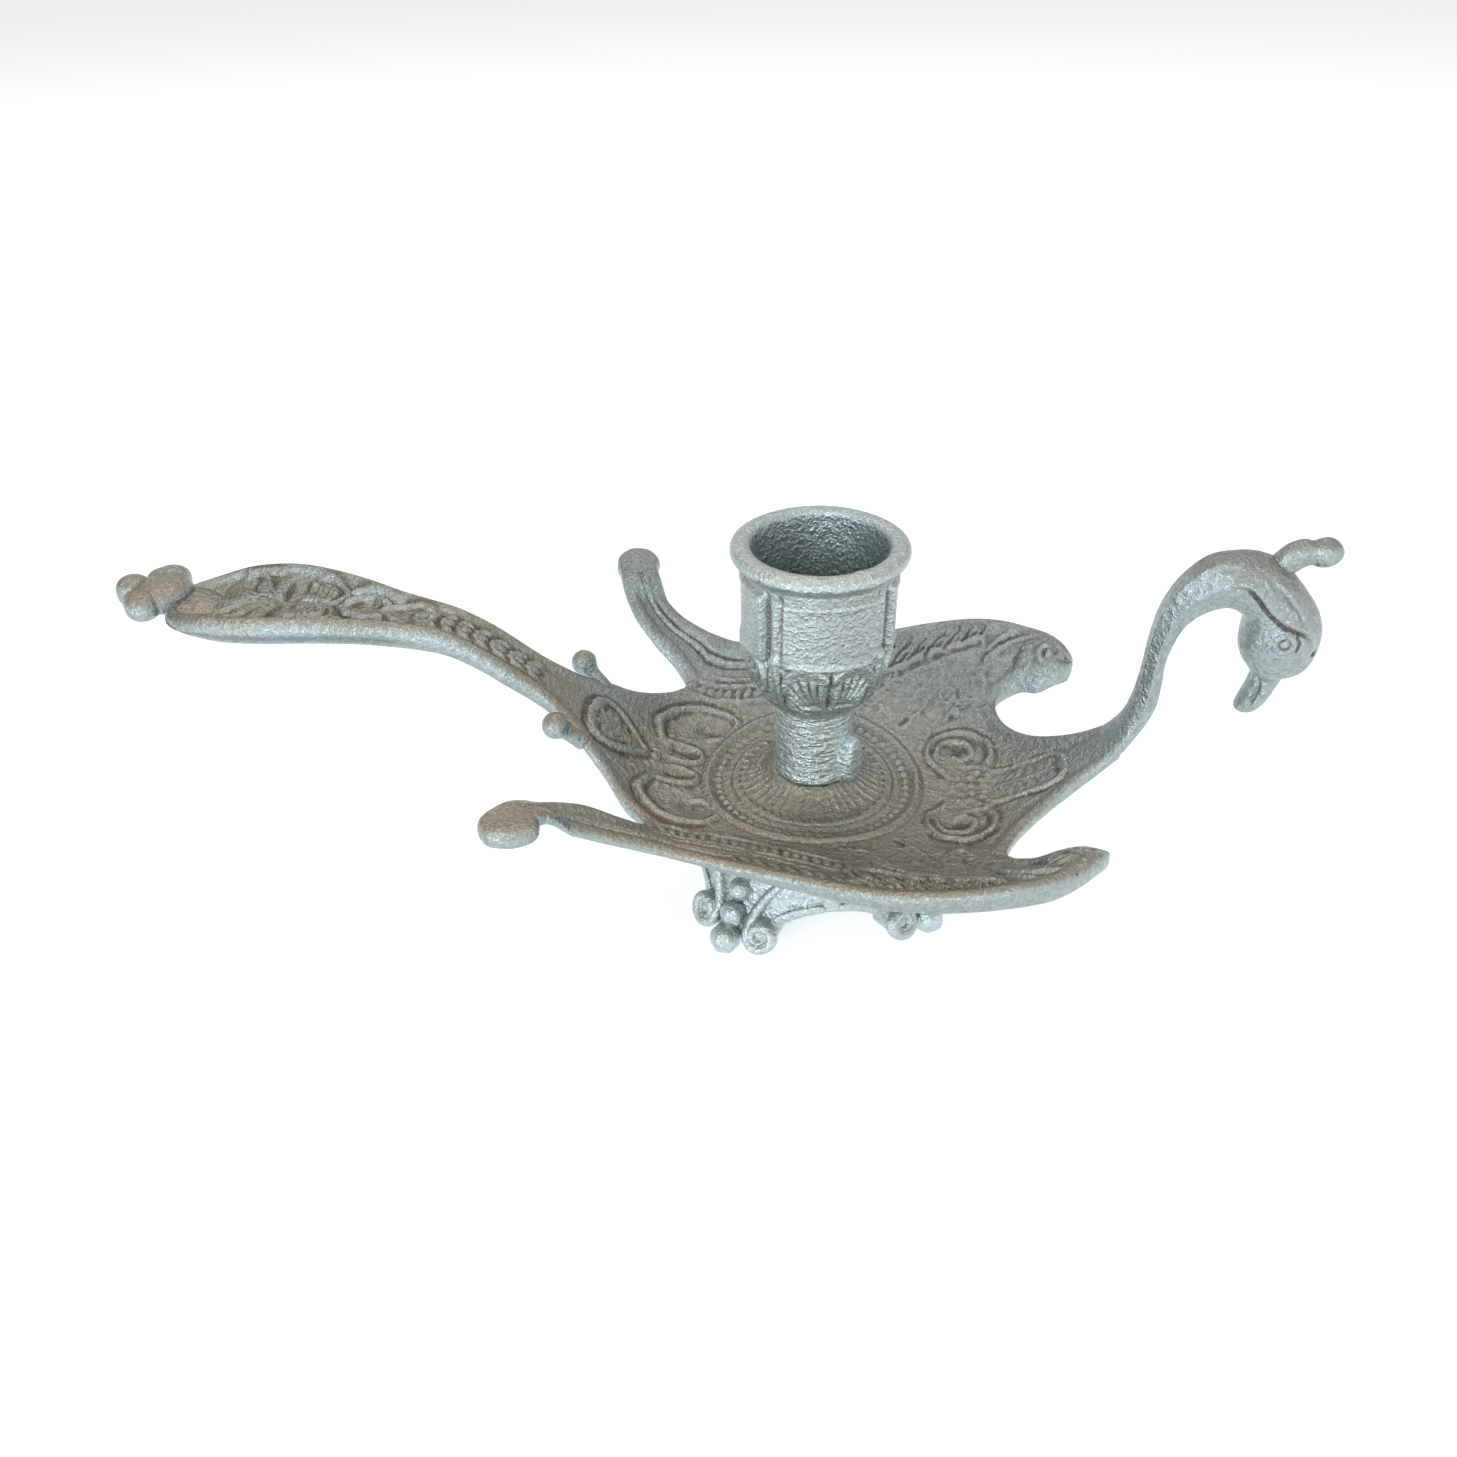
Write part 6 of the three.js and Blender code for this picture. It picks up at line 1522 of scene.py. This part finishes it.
def pale_floor():
    """Wide floor: matt paper that also glows for rays that see it directly."""
    mesh = bpy.data.meshes.new("floor")
    far = FLOOR_HALF
    mesh.from_pydata([(-far, -far, 0), (far, -far, 0), (far, far, 0), (-far, far, 0)], [], [(0, 1, 2, 3)])
    floor = bpy.data.objects.new("floor", mesh)
    bpy.context.scene.collection.objects.link(floor)
    material = bpy.data.materials.new("Pale floor")
    material.use_nodes = True
    tree = material.node_tree
    tree.nodes.clear()
    paper = node(tree, "ShaderNodeBsdfDiffuse", (0, 100))
    paper.inputs["Color"].default_value = PAPER_COLOUR
    glow = node(tree, "ShaderNodeEmission", (0, -100))
    seen = seen_directly(tree, (-300, 0))
    tree.links.new(sums(tree, "MULTIPLY", seen, FLOOR_GLOW, (-100, -200)), glow.inputs["Strength"])
    both = node(tree, "ShaderNodeAddShader", (250, 0))
    tree.links.new(paper.outputs[0], both.inputs[0])
    tree.links.new(glow.outputs[0], both.inputs[1])
    output = node(tree, "ShaderNodeOutputMaterial", (450, 0))
    tree.links.new(both.outputs[0], output.inputs["Surface"])
    mesh.materials.append(material)
    return floor


def white_room():
    """World that looks white and lights the object only dimly."""
    world = bpy.data.worlds.new("Soft white room")
    world.use_nodes = True
    tree = world.node_tree
    tree.nodes.clear()
    output = node(tree, "ShaderNodeOutputWorld", (600, 0))
    dim = node(tree, "ShaderNodeBackground", (200, 100))
    dim.inputs["Color"].default_value = ROOM_COLOUR
    dim.inputs["Strength"].default_value = ROOM_STRENGTH
    white = node(tree, "ShaderNodeBackground", (200, -100))
    white.inputs["Strength"].default_value = 1.0
    mix = node(tree, "ShaderNodeMixShader", (400, 0))
    tree.links.new(seen_directly(tree, (0, 300)), mix.inputs[0])
    tree.links.new(dim.outputs[0], mix.inputs[1])
    tree.links.new(white.outputs[0], mix.inputs[2])
    tree.links.new(mix.outputs[0], output.inputs["Surface"])
    return world


def photograph_camera():
    """Camera of the photograph."""
    data = bpy.data.cameras.new("Photograph")
    data.sensor_width = SENSOR_WIDTH
    data.sensor_fit = "HORIZONTAL"
    data.lens = FOCAL_PIXELS / FRAME_PIXELS * SENSOR_WIDTH
    data.clip_start = 0.005
    camera = bpy.data.objects.new("Photograph", data)
    camera.matrix_world = camera_matrix()
    bpy.context.scene.collection.objects.link(camera)
    return camera


# Settings a user would change


class CandlestickSizes(bpy.types.PropertyGroup):
    """Sizes of the ornament"""

    relief_depth: bpy.props.FloatProperty(
        name="Relief depth",
        description="Height of the cast ornament as a share of the drawn one",
        default=1.3,
        min=0,
        max=2,
    )
    handle_rim: bpy.props.FloatProperty(
        name="Handle rim",
        description="Extra height of the rim on the handle, in millimetres",
        default=0.8,
        min=0,
        max=2,
    )
    lobe_drop: bpy.props.FloatProperty(
        name="Lobe thickness",
        description="Extra thickness under the front lobes, in millimetres",
        default=1.6,
        min=0,
        max=3,
    )
    dome_flutes: bpy.props.IntProperty(
        name="Dome flutes",
        description="Hollow flutes round the stem",
        default=42,
        min=8,
        max=80,
    )
    dish_beads: bpy.props.IntProperty(
        name="Dish beads",
        description="Beads in the ring of the dish",
        default=58,
        min=8,
        max=90,
    )


class CandlestickFinish(bpy.types.PropertyGroup):
    """Colours and skin of the metal"""

    # Painted reflection: the bright, cool tone of upright faces.
    upright_reflection_tone: bpy.props.FloatVectorProperty(
        name="Upright metal",
        description="Colour of upright faces",
        subtype="COLOR",
        size=3,
        default=(0.38, 0.44, 0.455),
        min=0,
        max=1,
    )
    # Painted reflection: the dull, warm tone of faces that lie flat.
    flat_reflection_tone: bpy.props.FloatVectorProperty(
        name="Flat metal",
        description="Colour of faces that lie flat",
        subtype="COLOR",
        size=3,
        default=(0.3, 0.264, 0.212),
        min=0,
        max=1,
    )
    # Painted reflection: the bright tone of the socket's upright sides.
    cup_reflection_tone: bpy.props.FloatVectorProperty(
        name="Cup metal",
        description="Colour of the candle socket's sides",
        subtype="COLOR",
        size=3,
        default=(0.52, 0.6, 0.61),
        min=0,
        max=1,
    )
    # Painted reflection: the duller tone of the socket's flat lip.
    lip_reflection_tone: bpy.props.FloatVectorProperty(
        name="Lip metal",
        description="Colour of the candle socket's flat lip",
        subtype="COLOR",
        size=3,
        default=(0.46, 0.475, 0.45),
        min=0,
        max=1,
    )
    metallic: bpy.props.FloatProperty(
        name="Metallic",
        description="How metallic the dull skin is",
        subtype="FACTOR",
        default=0.9,
        min=0,
        max=1,
    )
    roughness: bpy.props.FloatProperty(
        name="Roughness",
        description="Mean roughness of the skin",
        subtype="FACTOR",
        default=0.3,
        min=0,
        max=1,
    )
    grain_depth: bpy.props.FloatProperty(
        name="Grain depth",
        description="Depth of the casting grain",
        unit="LENGTH",
        default=0.00034,
        min=0,
        max=0.002,
    )
    # Strength of the painted shade in the hollows and in the bore.
    hollow_shade_strength: bpy.props.FloatProperty(
        name="Dark hollows",
        description="How dark the dirt in the hollows is",
        subtype="FACTOR",
        default=0.75,
        min=0,
        max=1,
    )


# Operators


class BuildTray(bpy.types.Operator):
    """Cast plate with its relief, and the fluted centre of the dish"""

    bl_idname = "candlestick.build_tray"
    bl_label = "Tray"

    def execute(self, context):
        sizes = context.scene.candlestick_sizes
        metal = metals(context)["Cast tray metal"]
        points, faces, hollow = tray_sheet(sizes.handle_rim, sizes.lobe_drop, sizes.relief_depth)
        closed_piece("tray_plate", points, faces, metal, "cast_tray", hollow, ("swan_tray",))
        points, faces, hollow = dish_centre(sizes.dome_flutes, sizes.dish_beads)
        closed_piece("dish_centre", points, faces, metal, "cast_tray", hollow, ("swan_tray",))
        return {"FINISHED"}


class BuildNeck(bpy.types.Operator):
    """Swan's neck, head and bill with plumage edges, and the crest"""

    bl_idname = "candlestick.build_neck"
    bl_label = "Neck and head"

    def execute(self, context):
        metal = metals(context)["Cast tray metal"]
        points, faces, hollow = lofted(NECK_SECTIONS, *NECK_GRID, neck_facets, draw_head)
        closed_piece("neck_and_head", points, faces, metal, "cast_tray", hollow, ("swan_tray",))
        points, faces, hollow = lofted(CREST_SECTIONS, *CREST_GRID)
        closed_piece("crest", points, faces, metal, "cast_tray", hollow, ("swan_tray",))
        return {"FINISHED"}


class BuildTrims(bpy.types.Operator):
    """Tail lobes, round horn ends and the two spurs"""

    bl_idname = "candlestick.build_trims"
    bl_label = "Tail lobes, horn ends and spurs"

    def execute(self, context):
        metal = metals(context)["Cast tray metal"]
        groups = {"tail_lobes": finial_lobes(), "horn_ends": horn_ends(), "spurs": spur_clubs()}
        for name, parts in groups.items():
            closed_piece(name, *put_together(parts), metal, "cast_tray", None, ("swan_tray",))
        return {"FINISHED"}


class BuildSocket(bpy.types.Operator):
    """Candle socket with lip, panels, leaf band, stem and casting pad"""

    bl_idname = "candlestick.build_socket"
    bl_label = "Candle socket"

    def execute(self, context):
        materials = metals(context)
        metal, filed = materials["Cast socket metal"], materials["Filed stem metal"]
        points, faces, hollow = socket_skin(context.scene.candlestick_sizes.relief_depth)
        piece = closed_piece("socket", points, faces, metal, "cast_socket", hollow, ("candle_socket",))
        piece.data.materials.append(filed)
        middles = np.empty(len(piece.data.polygons) * 3, np.float32)
        piece.data.polygons.foreach_get("center", middles)
        on_stem = (middles[2::3] < (STAND_HEIGHT + STEM_TOP + 0.4) * MM).astype(np.int32)
        piece.data.polygons.foreach_set("material_index", on_stem)
        closed_piece("stem_pad", *stem_lug(), filed, "cast_socket", None, ("candle_socket",))
        return {"FINISHED"}


class BuildStand(bpy.types.Operator):
    """Skirt with four arches and the four scroll feet"""

    bl_idname = "candlestick.build_stand"
    bl_label = "Scroll stand"

    def execute(self, context):
        metal = metals(context)["Cast stand metal"]
        closed_piece("stand_skirt", *skirt_and_arches(), metal, "cast_stand", None, ("foot_stand",))
        closed_piece("scroll_feet", *scroll_feet(), metal, "cast_stand", None, ("foot_stand",))
        return {"FINISHED"}


class DressFasteners(bpy.types.Operator):
    """Steel finish for the screw and its washer, which keep their solids"""

    bl_idname = "candlestick.dress_fasteners"
    bl_label = "Screw and washer"

    def execute(self, context):
        steel = metals(context)["Screw steel"]
        for name in ("tie_screw", "washer"):
            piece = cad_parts[name]
            for holder in piece.material_slots:
                holder.material = steel
        return {"FINISHED"}


class SetStage(bpy.types.Operator):
    """Pale floor, soft lights, white surroundings and the photograph's camera"""

    bl_idname = "candlestick.set_stage"
    bl_label = "Floor, light and camera"

    def execute(self, context):
        scene = context.scene
        floor = pale_floor()
        scene.world = white_room()
        for lamp in LAMPS:
            area_light(*lamp)
        scene.camera = photograph_camera()
        scene.view_settings.view_transform = "Standard"
        return {"FINISHED"}


STEPS = (BuildTray, BuildNeck, BuildTrims, BuildSocket, BuildStand, DressFasteners, SetStage)


class CandlestickPanel(bpy.types.Panel):
    """Sizes, colours and building steps of the candlestick"""

    bl_idname = "VIEW3D_PT_candlestick"
    bl_label = "Candlestick"
    bl_space_type = "VIEW_3D"
    bl_region_type = "UI"
    bl_category = "Candlestick"

    def draw(self, context):
        for settings in (context.scene.candlestick_sizes, context.scene.candlestick_finish):
            column = self.layout.column()
            for name in type(settings).__annotations__:
                column.prop(settings, name)
        for step in STEPS:
            self.layout.operator(step.bl_idname)


CLASSES = (CandlestickSizes, CandlestickFinish, *STEPS, CandlestickPanel)


def register():
    """Makes the settings, the steps and the panel known to Blender."""
    for each in CLASSES:
        bpy.utils.register_class(each)
    bpy.types.Scene.candlestick_sizes = bpy.props.PointerProperty(type=CandlestickSizes)
    bpy.types.Scene.candlestick_finish = bpy.props.PointerProperty(type=CandlestickFinish)


def unregister():
    """Takes them away again, in the opposite order."""
    del bpy.types.Scene.candlestick_finish
    del bpy.types.Scene.candlestick_sizes
    for each in reversed(CLASSES):
        bpy.utils.unregister_class(each)


def main():
    """Builds everything step by step."""
    register()
    steps = bpy.ops.candlestick
    steps.build_tray()
    steps.build_neck()
    steps.build_trims()
    steps.build_socket()
    steps.build_stand()
    steps.dress_fasteners()
    steps.set_stage()


if __name__ == "__main__":
    main()
